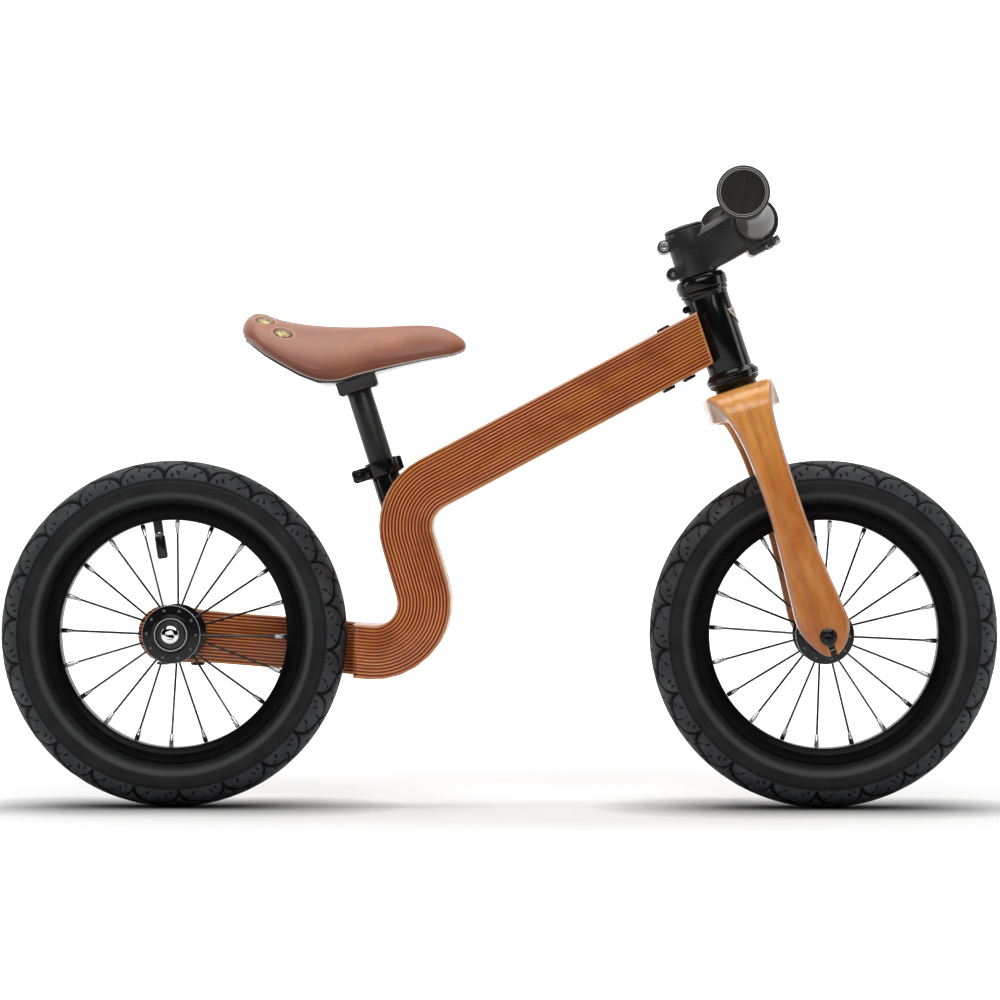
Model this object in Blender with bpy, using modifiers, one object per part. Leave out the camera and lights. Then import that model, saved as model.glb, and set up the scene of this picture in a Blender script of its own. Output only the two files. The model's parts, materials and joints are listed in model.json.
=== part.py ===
"""Child's balance bike with a bent laminated wood beam and a wooden fork.

Metres, +Z up. The bike faces +X, Y = 0 is the plane of both wheels, and the origin is on the ground below the
middle of the wheelbase. The rear wheel hangs on one stay, on the bike's left side (+Y).
"""
import math

import bmesh
import bpy
from mathutils import Matrix, Vector

# ---------------------------------------------------------------- driving dimensions
WHEEL_RADIUS = 0.146          # 12 1/2 inch wheel with a 47 mm tyre
WHEELBASE = 0.5468
TYRE_HALF_WIDTH = 0.0235
RIM_RADIUS = 0.1085
RIM_INNER_RADIUS = 0.0958
HUB_FLANGE_RADIUS = 0.0245
HUB_FLANGE_Y = 0.025
HUB_HALF_LENGTH = 0.030
SPOKES = 20
VALVE_ANGLE = math.radians(-100.2)  # about the wheel's axis, from its +X: behind the top
REAR_WHEEL_TURN = math.radians(1.6)
FRONT_WHEEL_TURN = math.radians(3.4)

BEAM_THICKNESS = 0.0444
BEAM_ANGLE = math.radians(28.05)
BEAM_HEIGHT_AT_ORIGIN = 0.3020
LEG_ANGLE = math.radians(16.5)
LEG_POINT = (-0.0684, 0.2020)
LEG_STRAIGHT = 0.0424
UPPER_BEND_RADIUS = 0.0410
LOWER_BEND_RADIUS = 0.0415
STAY_RISE = math.radians(4.4)
STAY_END_X = -0.2836
STAY_END_RADIUS = 0.0245
STAY_PROFILE = ((-0.145, 0.0220), (-0.180, 0.0218), (-0.235, 0.0216), (-0.252, 0.0220), (-0.268, 0.0233),
                (STAY_END_X, STAY_END_RADIUS))
BEAM_NEAR_Y = -0.030
BEAM_FAR_Y = 0.030
STAY_INNER_Y = 0.033
STAY_OUTER_Y = 0.057
WHEEL_SLOT_X = -0.1212        # the near half of the beam ends here, ahead of the rear tyre
SLOT_ROUND = 0.0100           # how far its outer edge is rounded over

HEAD_POINT = (0.1719, 0.4390)      # a point of the steering axis
HEAD_ANGLE = math.radians(18.46)
HEAD_TUBE_RADIUS = 0.0188
HEAD_TUBE_BORE = 0.0165
HEAD_TUBE_TOP = -0.0110
HEAD_TUBE_BOTTOM = -0.0745
BEAM_HEAD_FACE = -0.0130      # the beam's head end, measured forward from the steering axis
STEERER_RADIUS = 0.0143
CROWN_TOP = -0.0913
FORK_AXLE = (0.0035, -0.3104)      # forward of and below the head point
FORK_LEG_Y = 0.057
BAR_CENTRE = (0.0578, 0.0366)
STEM_RISE = math.radians(8.0)
BAR_CLAMP_RADIUS = 0.0159
BAR_RADIUS = 0.0111
GRIP_START = 0.092
GRIP_END = 0.200

SEAT_POINT = (-0.1090, 0.3240)     # a point of the seat post's axis
SEAT_ANGLE = math.radians(17.5)
SEAT_POST_RADIUS = 0.0106
SEAT_TUBE_RADIUS = 0.0120
SEAT_TUBE_TOP = -0.0344
SEAT_TUBE_BOTTOM = -0.1660
SEAT_POST_TOP = 0.0330

GAP = 0.0003
FLAT_HEAD_RADIUS = 0.0063
BOLT_RADIUS = 0.0030

REAR_AXLE = Vector((-WHEELBASE / 2, 0.0, WHEEL_RADIUS))
FRONT_AXLE = Vector((WHEELBASE / 2, 0.0, WHEEL_RADIUS))
AXLE_ALONG_Y = (-math.pi / 2, 0.0, 0.0)


# ---------------------------------------------------------------- scene and materials
def clear_scene():
    for obj in list(bpy.data.objects):
        bpy.data.objects.remove(obj, do_unlink=True)


def new_collection(name):
    collection = bpy.data.collections.new(name)
    bpy.context.scene.collection.children.link(collection)
    return collection


def material(name, colour, roughness, metallic=0.0):
    mat = bpy.data.materials.new(name)
    mat.use_nodes = True
    shader = mat.node_tree.nodes["Principled BSDF"]
    shader.inputs["Base Color"].default_value = (*colour, 1.0)
    shader.inputs["Roughness"].default_value = roughness
    shader.inputs["Metallic"].default_value = metallic
    mat.diffuse_color = (*colour, 1.0)
    return mat


clear_scene()
BIKE = new_collection("balance_bike")
CUTTERS = new_collection("cutters")

PLYWOOD = material("plywood", (0.45, 0.17, 0.05), 0.35)
FORK_WOOD = material("fork_wood", (0.55, 0.25, 0.08), 0.25)
BLACK_GLOSS = material("black_gloss", (0.012, 0.012, 0.014), 0.2, 0.6)
BLACK_SATIN = material("black_satin", (0.03, 0.03, 0.032), 0.4, 0.5)
TYRE_RUBBER = material("tyre_rubber", (0.035, 0.036, 0.04), 0.7)
GRIP_RUBBER = material("grip_rubber", (0.025, 0.023, 0.023), 0.75)
STEEL = material("steel", (0.55, 0.55, 0.57), 0.3, 1.0)
CHROME = material("chrome", (0.8, 0.8, 0.82), 0.08, 1.0)
BRASS = material("brass", (0.55, 0.42, 0.2), 0.35, 1.0)
LEATHER = material("saddle_leather", (0.32, 0.11, 0.05), 0.45)
BLACK_PLASTIC = material("black_plastic", (0.03, 0.03, 0.03), 0.5)


# ---------------------------------------------------------------- shape helpers
def link(obj, mat):
    """Put a finished object in the bike's collection, or among the cutters when it has no material."""
    if mat is None:
        CUTTERS.objects.link(obj)
        obj.hide_render = True
        obj.display_type = "WIRE"
    else:
        BIKE.objects.link(obj)
        obj.data.materials.append(mat)
    return obj


def mesh_object(name, bm, mat=None, parent=None, location=(0, 0, 0), rotation=(0, 0, 0)):
    mesh = bpy.data.meshes.new(name)
    bm.to_mesh(mesh)
    bm.free()
    obj = link(bpy.data.objects.new(name, mesh), mat)
    obj.parent = parent
    obj.location = location
    obj.rotation_euler = rotation
    return obj


def axis_frame(name, location, rotation):
    """An empty whose frame holds the pieces that share an axis."""
    frame = bpy.data.objects.new(name, None)
    BIKE.objects.link(frame)
    frame.location = location
    frame.rotation_euler = rotation
    return frame


def turned(name, profile, mat=None, steps=24, closed=False, **place):
    """Turn a (radius, height) profile about local Z. It runs down its outer side, top to bottom."""
    bm = bmesh.new()
    points = [bm.verts.new((radius, 0.0, height)) for radius, height in profile]
    for start, end in zip(points, points[1:]):
        bm.edges.new((start, end))
    if closed:
        bm.edges.new((points[-1], points[0]))
    obj = mesh_object(name, bm, mat, **place)
    screw = obj.modifiers.new("turn", "SCREW")
    screw.steps = steps
    screw.render_steps = steps
    screw.use_merge_vertices = True
    screw.merge_threshold = 0.00001
    screw.use_smooth_shade = True
    return obj


def loft(name, rings, mat=None, **place):
    """Skin a list of rings, each with the same number of points, and close both ends."""
    bm = bmesh.new()
    rows = [[bm.verts.new(point) for point in ring] for ring in rings]
    count = len(rows[0])
    for row, following in zip(rows, rows[1:]):
        for i in range(count):
            j = (i + 1) % count
            bm.faces.new((row[i], row[j], following[j], following[i]))
    bm.faces.new(rows[0][::-1])
    bm.faces.new(rows[-1])
    bmesh.ops.recalc_face_normals(bm, faces=bm.faces[:])
    return mesh_object(name, bm, mat, **place)


def rod(name, radius, low, high, mat=None, steps=20, bevel=0.0, **place):
    """A solid cylinder along local Z, with its end edges taken off by the bevel."""
    levels = ((radius - bevel, low), (radius, low + bevel), (radius, high - bevel), (radius - bevel, high))
    if bevel == 0.0:
        levels = ((radius, low), (radius, high))
    rings = []
    for reach, height in levels:
        angles = [2 * math.pi * (i + 0.5) / steps for i in range(steps)]
        rings.append([(reach * math.cos(angle), reach * math.sin(angle), height) for angle in angles])
    return loft(name, rings, mat, **place)


def tube(name, outer, inner, low, high, mat=None, steps=24, bevel=0.0, **place):
    profile = [(outer - bevel, high), (outer, high - bevel), (outer, low + bevel), (outer - bevel, low),
               (inner, low), (inner, high)]
    if bevel == 0.0:
        profile = [(outer, high), (outer, low), (inner, low), (inner, high)]
    return turned(name, profile, mat, steps, closed=True, **place)


def block(name, low, high, mat=None, bevel=0.0, **place):
    """A box between two corners of its parent's frame."""
    bm = bmesh.new()
    bmesh.ops.create_cube(bm, size=1.0)
    for vert in bm.verts:
        for axis in range(3):
            vert.co[axis] = (low[axis] + high[axis]) / 2 + vert.co[axis] * (high[axis] - low[axis])
    if bevel:
        bmesh.ops.bevel(bm, geom=bm.edges[:], offset=bevel, segments=1, affect="EDGES")
    return mesh_object(name, bm, mat, **place)


def boolean(target, operation, *others):
    for other in others:
        modifier = target.modifiers.new(operation.lower(), "BOOLEAN")
        modifier.operation = operation
        modifier.solver = "EXACT"
        modifier.object = other
    return target


def cut(target, *cutters):
    return boolean(target, "DIFFERENCE", *cutters)


def join(target, *others):
    return boolean(target, "UNION", *others)


def smooth_path(points, steps):
    """Points on a Catmull-Rom curve through the given ones."""
    ends = [points[0] * 2 - points[1], *points, points[-1] * 2 - points[-2]]
    path = []
    for i in range(1, len(ends) - 2):
        before, start, end, after = ends[i - 1:i + 3]
        for step in range(steps):
            t = step / steps
            path.append(0.5 * ((2 * start) + (end - before) * t + (2 * before - 5 * start + 4 * end - after) * t ** 2
                               + (3 * start - before - 3 * end + after) * t ** 3))
    return path + [points[-1]]


def curve_tube(name, points, radius, mat, sides, scales=None, **place):
    """A tube along a polyline, turned into a mesh with welded caps."""
    curve = bpy.data.curves.new(name, "CURVE")
    curve.dimensions = "3D"
    curve.bevel_depth = radius
    curve.bevel_resolution = sides
    curve.use_fill_caps = True
    spline = curve.splines.new("POLY")
    spline.points.add(len(points) - 1)
    for i, point in enumerate(points):
        spline.points[i].co = (*point, 1.0)
        spline.points[i].radius = scales[i] if scales else 1.0
    guide = bpy.data.objects.new(name + "_guide", curve)
    BIKE.objects.link(guide)
    bpy.context.view_layer.update()
    evaluated = guide.evaluated_get(bpy.context.evaluated_depsgraph_get())
    mesh = bpy.data.meshes.new_from_object(evaluated)
    bpy.data.objects.remove(guide, do_unlink=True)
    bm = bmesh.new()
    bm.from_mesh(mesh)
    bmesh.ops.remove_doubles(bm, verts=bm.verts[:], dist=0.00001)
    bmesh.ops.recalc_face_normals(bm, faces=bm.faces[:])
    return mesh_object(name, bm, mat, **place)


def flat_head_bolt(name, location, rotation, length, mat=BLACK_GLOSS):
    """A flat-headed bolt along local Z, with its head's underside at the location and its shank above it."""
    head = 0.0024
    profile = [(0.0, length), (BOLT_RADIUS, length), (BOLT_RADIUS, 0.0), (FLAT_HEAD_RADIUS - 0.0005, 0.0),
               (FLAT_HEAD_RADIUS, -0.0008), (FLAT_HEAD_RADIUS - 0.0008, -head), (0.0025, -head),
               (0.0025, -head + 0.0014), (0.0, -head + 0.0014)]
    return turned(name, profile, mat, steps=12, location=location, rotation=rotation)


# ---------------------------------------------------------------- frame beam
def beam_height(x):
    return BEAM_HEIGHT_AT_ORIGIN + math.tan(BEAM_ANGLE) * x


def crossing(point_a, direction_a, point_b, direction_b):
    """Where two lines in the XZ plane meet."""
    matrix = Matrix(((direction_a[0], -direction_b[0]), (direction_a[1], -direction_b[1])))
    along = matrix.inverted() @ Vector((point_b[0] - point_a[0], point_b[1] - point_a[1]))
    return Vector(point_a) + along[0] * Vector(direction_a)


BEAM_BACK = Vector((-math.cos(BEAM_ANGLE), -math.sin(BEAM_ANGLE)))
LEG_DOWN = Vector((math.sin(LEG_ANGLE), -math.cos(LEG_ANGLE)))
STAY_BACK = Vector((-math.cos(STAY_RISE), math.sin(STAY_RISE)))


def left_of(direction):
    """The unit vector to the left of a direction in the XZ plane."""
    return Vector((-direction.y, direction.x))


def beam_centres():
    """The two bends' centres: the upper one is tangent to beam and leg, the lower one to leg and stay."""
    beam_point = Vector((0.0, BEAM_HEIGHT_AT_ORIGIN)) + left_of(BEAM_BACK) * UPPER_BEND_RADIUS
    leg_point = Vector(LEG_POINT) + left_of(LEG_DOWN) * UPPER_BEND_RADIUS
    upper = crossing(beam_point, BEAM_BACK, leg_point, LEG_DOWN)
    along = (upper - Vector(LEG_POINT)).dot(LEG_DOWN)
    lower = Vector(LEG_POINT) + LEG_DOWN * (along + LEG_STRAIGHT) - left_of(LEG_DOWN) * LOWER_BEND_RADIUS
    return upper, lower


def beam_path():
    """Stations along the beam from its head end to the stay's end.

    Each is (centre, left, half thickness, far face Y), in the XZ plane.
    """
    upper, lower = beam_centres()
    half = BEAM_THICKNESS / 2
    stations = []
    head = Vector((0.205, beam_height(0.205)))
    tangent = upper - left_of(BEAM_BACK) * UPPER_BEND_RADIUS
    for i in range(5):
        stations.append((head.lerp(tangent, i / 4), left_of(BEAM_BACK), half, BEAM_FAR_Y))
    sweep = BEAM_BACK.angle_signed(LEG_DOWN)
    bend_steps = 9
    for i in range(1, bend_steps + 1):
        left = Matrix.Rotation(abs(sweep) * i / bend_steps, 2) @ left_of(BEAM_BACK)
        stations.append((upper - left * UPPER_BEND_RADIUS, left, half, BEAM_FAR_Y))
    leg_left = left_of(LEG_DOWN)
    leg_start = upper - leg_left * UPPER_BEND_RADIUS
    leg_end = lower + leg_left * LOWER_BEND_RADIUS
    widen = STAY_OUTER_Y - BEAM_FAR_Y
    for i in range(1, 6):
        t = i / 5
        far = BEAM_FAR_Y + widen * t * t * (3 - 2 * t) * 0.45
        stations.append((leg_start.lerp(leg_end, t), leg_left, half, far))
    sweep = LEG_DOWN.angle_signed(STAY_BACK)
    for i in range(1, bend_steps + 1):
        t = i / bend_steps
        left = Matrix.Rotation(-abs(sweep) * t, 2) @ leg_left
        far = BEAM_FAR_Y + widen * (0.45 + 0.55 * t * t * (3 - 2 * t))
        stations.append((lower + left * LOWER_BEND_RADIUS, left, half, far))
    stay_left = left_of(STAY_BACK)
    start = stations[-1][0]
    length = (STAY_END_X - start.x) / STAY_BACK.x
    for x, stay_half in STAY_PROFILE:
        spot = start + STAY_BACK * ((x - start.x) / STAY_BACK.x)
        stations.append((spot, stay_left, stay_half, STAY_OUTER_Y))
    for degrees in (15, 30, 45, 60, 72, 82):
        turn = math.radians(degrees)
        centre = start + STAY_BACK * (length + STAY_END_RADIUS * math.sin(turn))
        stations.append((centre, stay_left, STAY_END_RADIUS * math.cos(turn), STAY_OUTER_Y))
    return stations


def beam_ring(centre, left, half, far):
    """An eight-sided section: a rectangle with its edges taken off."""
    bevel = min(0.0022, half * 0.4)
    ring = []
    for side, y in ((half - bevel, far), (half, far - bevel), (half, BEAM_NEAR_Y + bevel), (half - bevel, BEAM_NEAR_Y),
                    (-half + bevel, BEAM_NEAR_Y), (-half, BEAM_NEAR_Y + bevel), (-half, far - bevel),
                    (-half + bevel, far)):
        spot = centre + left * side
        ring.append((spot.x, y, spot.y))
    return ring


STEERING = axis_frame("steering_axis", (HEAD_POINT[0], 0, HEAD_POINT[1]), (0, -HEAD_ANGLE, 0))
SEAT = axis_frame("seat_axis", (SEAT_POINT[0], 0, SEAT_POINT[1]), (0, -SEAT_ANGLE, 0))
REAR = axis_frame("rear_axle_line", REAR_AXLE, AXLE_ALONG_Y)
FRONT = axis_frame("front_axle_line", FRONT_AXLE, AXLE_ALONG_Y)

TONGUE_X = 0.126              # where the head tube's tongue ends inside the beam
TONGUE_HALF_Y = 0.007
TONGUE_HALF_Z = 0.010
FRONT_BOLT_X = 0.1500
REAR_BOLT_X = 0.1330
AXLE_BLOCK = (0.024, 0.0090)       # half length and half height of the metal block in the stay
STAY_BOLT_SPACING = 0.0148
AXLE_BLOCK_Y = 0.0405


def beam_frame(name, x):
    """A frame on the beam's centreline with its Z across the plies, towards the top face."""
    return axis_frame(name, (x, 0, beam_height(x)), (0, -BEAM_ANGLE, 0))


BEAM_AT_TONGUE = beam_frame("tongue_end", TONGUE_X)
BEAM_AT_FRONT_BOLT = beam_frame("front_bolt_line", FRONT_BOLT_X)
BEAM_AT_REAR_BOLT = beam_frame("rear_bolt_line", REAR_BOLT_X)
TONGUE_LENGTH = 0.052


def make_wheel_slot():
    """The clearance for the rear tyre: the beam's outer edge is rounded over, and the corner to the stay is filleted."""
    corner = 0.010
    inner = STAY_INNER_Y
    outline = [(-0.40, -0.06), (WHEEL_SLOT_X + SLOT_ROUND, -0.06)]
    for i in range(6):
        turn = math.pi / 2 * i / 5
        outline.append((WHEEL_SLOT_X + SLOT_ROUND * (1 - math.sin(turn)),
                        BEAM_NEAR_Y + SLOT_ROUND * (1 - math.cos(turn))))
    for i in range(7):
        turn = math.pi / 2 * i / 6
        outline.append((WHEEL_SLOT_X - corner + corner * math.cos(turn), inner - corner + corner * math.sin(turn)))
    outline.append((-0.40, inner))
    rings = [[(x, y, z) for x, y in outline] for z in (0.08, 0.21)]
    return loft("wheel_slot", rings)


def make_frame_beam():
    beam = loft("frame_beam", [beam_ring(*station) for station in beam_path()], PLYWOOD)
    half = BEAM_THICKNESS / 2
    cut(beam,
        block("head_end_cut", (BEAM_HEAD_FACE, -0.08, -0.12), (0.10, 0.08, 0.04), parent=STEERING),
        rod("head_tube_seat", HEAD_TUBE_RADIUS + GAP, -0.12, 0.04, steps=24, parent=STEERING),
        block("tongue_mortise", (-GAP, -TONGUE_HALF_Y - GAP, -TONGUE_HALF_Z - GAP),
              (TONGUE_LENGTH, TONGUE_HALF_Y + GAP, TONGUE_HALF_Z + GAP), parent=BEAM_AT_TONGUE),
        rod("front_bolt_hole", BOLT_RADIUS + GAP, -0.03, 0.03, steps=12, parent=BEAM_AT_FRONT_BOLT),
        rod("rear_bolt_hole", BOLT_RADIUS + GAP, -0.03, half - 0.012, steps=12, parent=BEAM_AT_REAR_BOLT),
        rod("seat_tube_bore", SEAT_TUBE_RADIUS + GAP, SEAT_TUBE_BOTTOM - GAP, 0.02, steps=24, parent=SEAT),
        make_wheel_slot(),
        block("axle_block_pocket", (-AXLE_BLOCK[0] - GAP, -AXLE_BLOCK[1] - GAP, AXLE_BLOCK_Y - GAP),
              (AXLE_BLOCK[0] + GAP, AXLE_BLOCK[1] + GAP, 0.07), parent=REAR),
        rod("axle_hole", 0.0055, 0.02, 0.07, steps=20, parent=REAR))
    for side in (-1, 1):
        cut(beam, rod(f"stay_bolt_hole_{side}", BOLT_RADIUS + GAP, 0.10, 0.146, steps=12,
                      location=(REAR_AXLE.x + side * STAY_BOLT_SPACING, 0.0490, 0)))
    return beam


def stay_underside(x):
    """The height of the stay's lower face at a place behind the lower bend."""
    lows = [centre + left * half for centre, left, half, _far in beam_path()[-12:]]
    for before, after in zip(lows, lows[1:]):
        if after.x <= x <= before.x:
            t = (x - before.x) / (after.x - before.x)
            return before.y + (after.y - before.y) * t
    return lows[0].y


def make_beam_fasteners():
    half = BEAM_THICKNESS / 2
    front = BEAM_AT_FRONT_BOLT
    rear = BEAM_AT_REAR_BOLT
    bolt = flat_head_bolt("tongue_bolt_front", (0, 0, -half - GAP), (0, 0, 0), BEAM_THICKNESS - 0.004)
    bolt.parent = front
    bolt = flat_head_bolt("tongue_bolt_rear", (0, 0, -half - GAP), (0, 0, 0), half + 0.0085)
    bolt.parent = rear
    nut = [(0.0, half + 0.0027), (FLAT_HEAD_RADIUS - 0.0008, half + 0.0027), (FLAT_HEAD_RADIUS, half + 0.0018),
           (FLAT_HEAD_RADIUS - 0.0004, half + GAP), (0.0, half + GAP)]
    turned("tongue_bolt_cap_nut", nut, BLACK_GLOSS, steps=12, parent=front)
    for side, name in ((-1, "axle_block_bolt_rear"), (1, "axle_block_bolt_front")):
        x = REAR_AXLE.x + side * STAY_BOLT_SPACING
        low = stay_underside(x) - 0.0007
        length = WHEEL_RADIUS + AXLE_BLOCK[1] - 0.002 - low
        flat_head_bolt(name, (x, 0.0490, low), (0, 0, 0), length)


def make_head_tube():
    """The head tube with its tongue, a bar that runs back into the beam, and a small gusset over the beam."""
    head = tube("head_tube", HEAD_TUBE_RADIUS, HEAD_TUBE_BORE, HEAD_TUBE_BOTTOM, HEAD_TUBE_TOP, BLACK_GLOSS, steps=24,
                parent=STEERING)
    tongue = block("tongue", (0, -TONGUE_HALF_Y, -TONGUE_HALF_Z), (TONGUE_LENGTH - 0.001, TONGUE_HALF_Y, TONGUE_HALF_Z),
                   parent=BEAM_AT_TONGUE)
    cut(tongue,
        rod("tongue_front_hole", BOLT_RADIUS + GAP, -0.03, 0.03, steps=12, parent=BEAM_AT_FRONT_BOLT),
        rod("tongue_rear_hole", BOLT_RADIUS + GAP, -0.03, 0.03, steps=12, parent=BEAM_AT_REAR_BOLT))
    join(head, tongue, rod("beam_stop", 0.0030, -0.0075, 0.0075, steps=12, parent=STEERING,
                           location=(-0.0198, 0, -0.0152), rotation=(math.pi / 2, 0, 0)))
    cut(head, rod("head_bore", HEAD_TUBE_BORE + 0.0001, -0.09, 0.0, steps=22, parent=STEERING))
    return head


def make_headset():
    bore = STEERER_RADIUS + GAP
    cup = [(0.0202, -0.0040), (0.0206, -0.0046), (0.0206, -0.0068), (0.0194, -0.0078), (0.0192, HEAD_TUBE_TOP + GAP),
           (bore + 0.0007, HEAD_TUBE_TOP + GAP), (bore + 0.0007, -0.0040)]
    turned("upper_headset_cup", cup, BLACK_GLOSS, steps=24, closed=True, parent=STEERING)
    cover = [(0.0185, 0.0083), (0.0200, 0.0078), (0.0218, 0.0046), (0.0221, 0.0030), (0.0216, -0.0030),
             (0.0209, -0.0037), (bore, -0.0037), (bore, 0.0083)]
    turned("headset_top_cover", cover, BLACK_GLOSS, steps=24, closed=True, parent=STEERING)
    cup = [(0.0194, HEAD_TUBE_BOTTOM - GAP), (0.0229, -0.0793), (0.0227, -0.0832), (bore + 0.0007, -0.0832),
           (bore + 0.0007, HEAD_TUBE_BOTTOM - GAP)]
    turned("lower_headset_cup", cup, BLACK_GLOSS, steps=24, closed=True, parent=STEERING)
    race = [(0.0223, -0.0836), (0.0214, -0.0862), (0.0180, -0.0882), (0.0178, CROWN_TOP + GAP), (bore, CROWN_TOP + GAP),
            (bore, -0.0836)]
    turned("crown_race", race, BLACK_GLOSS, steps=24, closed=True, parent=STEERING)
    for name, low in (("upper_headset_bearing", -0.0195), ("lower_headset_bearing", -0.0735)):
        tube(name, HEAD_TUBE_BORE - GAP, STEERER_RADIUS + 0.0006, low, low + 0.0070, STEEL, steps=14, parent=STEERING)
    tube("steerer_tube", STEERER_RADIUS, 0.0120, -0.1135, 0.0490, BLACK_SATIN, steps=20, parent=STEERING)


# ---------------------------------------------------------------- fork
def fork_half():
    """Stations of one half of the fork, from the crown's middle down to the tip of the left leg.

    Each is (y, height, angle of the outward normal, thickness, rear edge, front edge).
    """
    stations = [(0.0, -0.1028, 0, 0.0230, -0.0312, 0.0300), (0.024, -0.1028, 0, 0.0230, -0.0308, 0.0296)]
    radius = 0.0160
    centre_y = FORK_LEG_Y - radius
    centre_h = -0.1028 - radius
    bend = ((0, 0.0222, -0.0296, 0.0285), (30, 0.0212, -0.0262, 0.0260), (60, 0.0202, -0.0215, 0.0228),
            (90, 0.0192, -0.0168, 0.0200))
    for degrees, thickness, rear, front in bend:
        turn = math.radians(degrees)
        stations.append((centre_y + radius * math.sin(turn), centre_h + radius * math.cos(turn), degrees, thickness,
                         rear, front))
    leg = ((-0.138, -0.0130, 0.0183), (-0.157, -0.0113, 0.0177), (-0.190, -0.0104, 0.0175), (-0.214, -0.0111, 0.0177),
           (-0.238, -0.0128, 0.0188), (-0.264, -0.0153, 0.0209), (-0.289, -0.0176, 0.0235), (-0.299, -0.0170, 0.0244),
           (-0.306, -0.0150, 0.0236), (-0.313, -0.0118, 0.0208), (-0.3195, -0.0078, 0.0162), (-0.3235, -0.0045, 0.0118),
           (-0.3262, -0.0005, 0.0070))
    for height, rear, front in leg:
        stations.append((FORK_LEG_Y, height, 90, 0.0180, rear, front))
    return stations


def fork_ring(y, height, degrees, thickness, rear, front, side):
    """A section across the arch, with its outer edges taken off more than its inner ones."""
    turn = math.radians(degrees)
    normal = Vector((0, side * math.sin(turn), math.cos(turn)))
    centre = Vector((0, side * y, height))
    outer = min(0.0040, (front - rear) * 0.25)
    inner = min(0.0015, (front - rear) * 0.2)
    half = thickness / 2
    ring = []
    for f, n in ((rear, half - outer), (rear + outer, half), (front - outer, half), (front, half - outer),
                 (front, -half + inner), (front - inner, -half), (rear + inner, -half), (rear, -half + inner)):
        ring.append(centre + normal * n + Vector((f, 0, 0)))
    return ring


def make_fork():
    half = fork_half()
    rings = [fork_ring(*station, -1) for station in reversed(half)]
    rings += [fork_ring(*station, 1) for station in half[1:]]
    fork = loft("fork", rings, FORK_WOOD, parent=STEERING)
    cut(fork, rod("steerer_hole", STEERER_RADIUS + GAP, -0.13, -0.08, steps=24, parent=STEERING))
    slot_half = 0.0027
    f, h = FORK_AXLE
    for side in (-1, 1):
        name = "left" if side > 0 else "right"
        y = sorted((side * 0.040, side * 0.075))
        cut(fork,
            block(f"dropout_slot_{name}", (f - slot_half, y[0], h - 0.03), (f + slot_half, y[1], h), parent=STEERING),
            rod(f"dropout_end_{name}", slot_half, y[0], y[1], steps=16, parent=FRONT))
    return fork


def make_front_axle():
    """The axle with its shoulders against the fork legs, and a flanged bolt into each of its ends."""
    end = FORK_LEG_Y - 0.009 - GAP
    shoulder = HUB_HALF_LENGTH + GAP
    neck = 0.0049
    profile = [(0.0030, end), (0.0075, end), (0.0075, shoulder + 0.004), (0.0065, shoulder), (neck, shoulder),
               (neck, -shoulder), (0.0065, -shoulder), (0.0075, -shoulder - 0.004), (0.0075, -end), (0.0030, -end)]
    turned("front_axle", profile, STEEL, steps=14, closed=True, parent=FRONT)
    face = FORK_LEG_Y + 0.009 + GAP
    for side, name in ((1, "front_axle_bolt_left"), (-1, "front_axle_bolt_right")):
        low = face - 0.030
        profile = [(0.0, face + 0.0020), (0.0020, face + 0.0020), (0.0020, face + 0.0048), (0.0050, face + 0.0048),
                   (0.0058, face + 0.0040), (0.0058, face + 0.0012), (0.0072, face + 0.0010), (0.0072, face),
                   (0.0024, face), (0.0024, low), (0.0, low)]
        turned(name, profile, BLACK_GLOSS, steps=14, parent=FRONT, rotation=(0 if side > 0 else math.pi, 0, 0))


# ---------------------------------------------------------------- wheels
def tyre_profile():
    """The C-shaped section, from the crown down the left side, round the bead and back inside."""
    half = [(0.1440, 0.0110), (0.1375, 0.0203), (0.1235, TYRE_HALF_WIDTH), (0.1115, 0.0150), (0.1091, 0.0104),
            (0.1023, 0.0100), (0.1023, 0.0066), (0.1091, 0.0070), (0.1180, 0.0180), (0.1300, 0.0202),
            (0.1398, 0.0125)]
    other = [(radius, -height) for radius, height in reversed(half)]
    return [(WHEEL_RADIUS, 0.0), *half, (0.1420, 0.0), *other]


def make_tyre(name, axle):
    return turned(name, tyre_profile()[::-1], TYRE_RUBBER, steps=32, closed=True, parent=axle)


def make_rim(name, axle, turn):
    half = 0.0125
    profile = [(RIM_RADIUS, half), (0.1010, half), (RIM_INNER_RADIUS, 0.0090), (RIM_INNER_RADIUS, -0.0090),
               (0.1010, -half), (RIM_RADIUS, -half), (RIM_RADIUS, -half + 0.0017), (0.0995, -half + 0.0019),
               (0.0995, half - 0.0019), (RIM_RADIUS, half - 0.0017)]
    rim = turned(name, profile[::-1], BLACK_GLOSS, steps=32, closed=True, parent=axle)
    cut(rim, rod(name + "_valve_hole", 0.0044, 0.085, 0.105, steps=12, parent=axle, rotation=valve_line(turn)))
    return rim


def valve_line(turn):
    """The rotation that points local Z from the axle towards the valve."""
    angle = VALVE_ANGLE + turn
    return Vector((math.cos(angle), math.sin(angle), 0)).to_track_quat("Z", "Y").to_euler()


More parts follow.
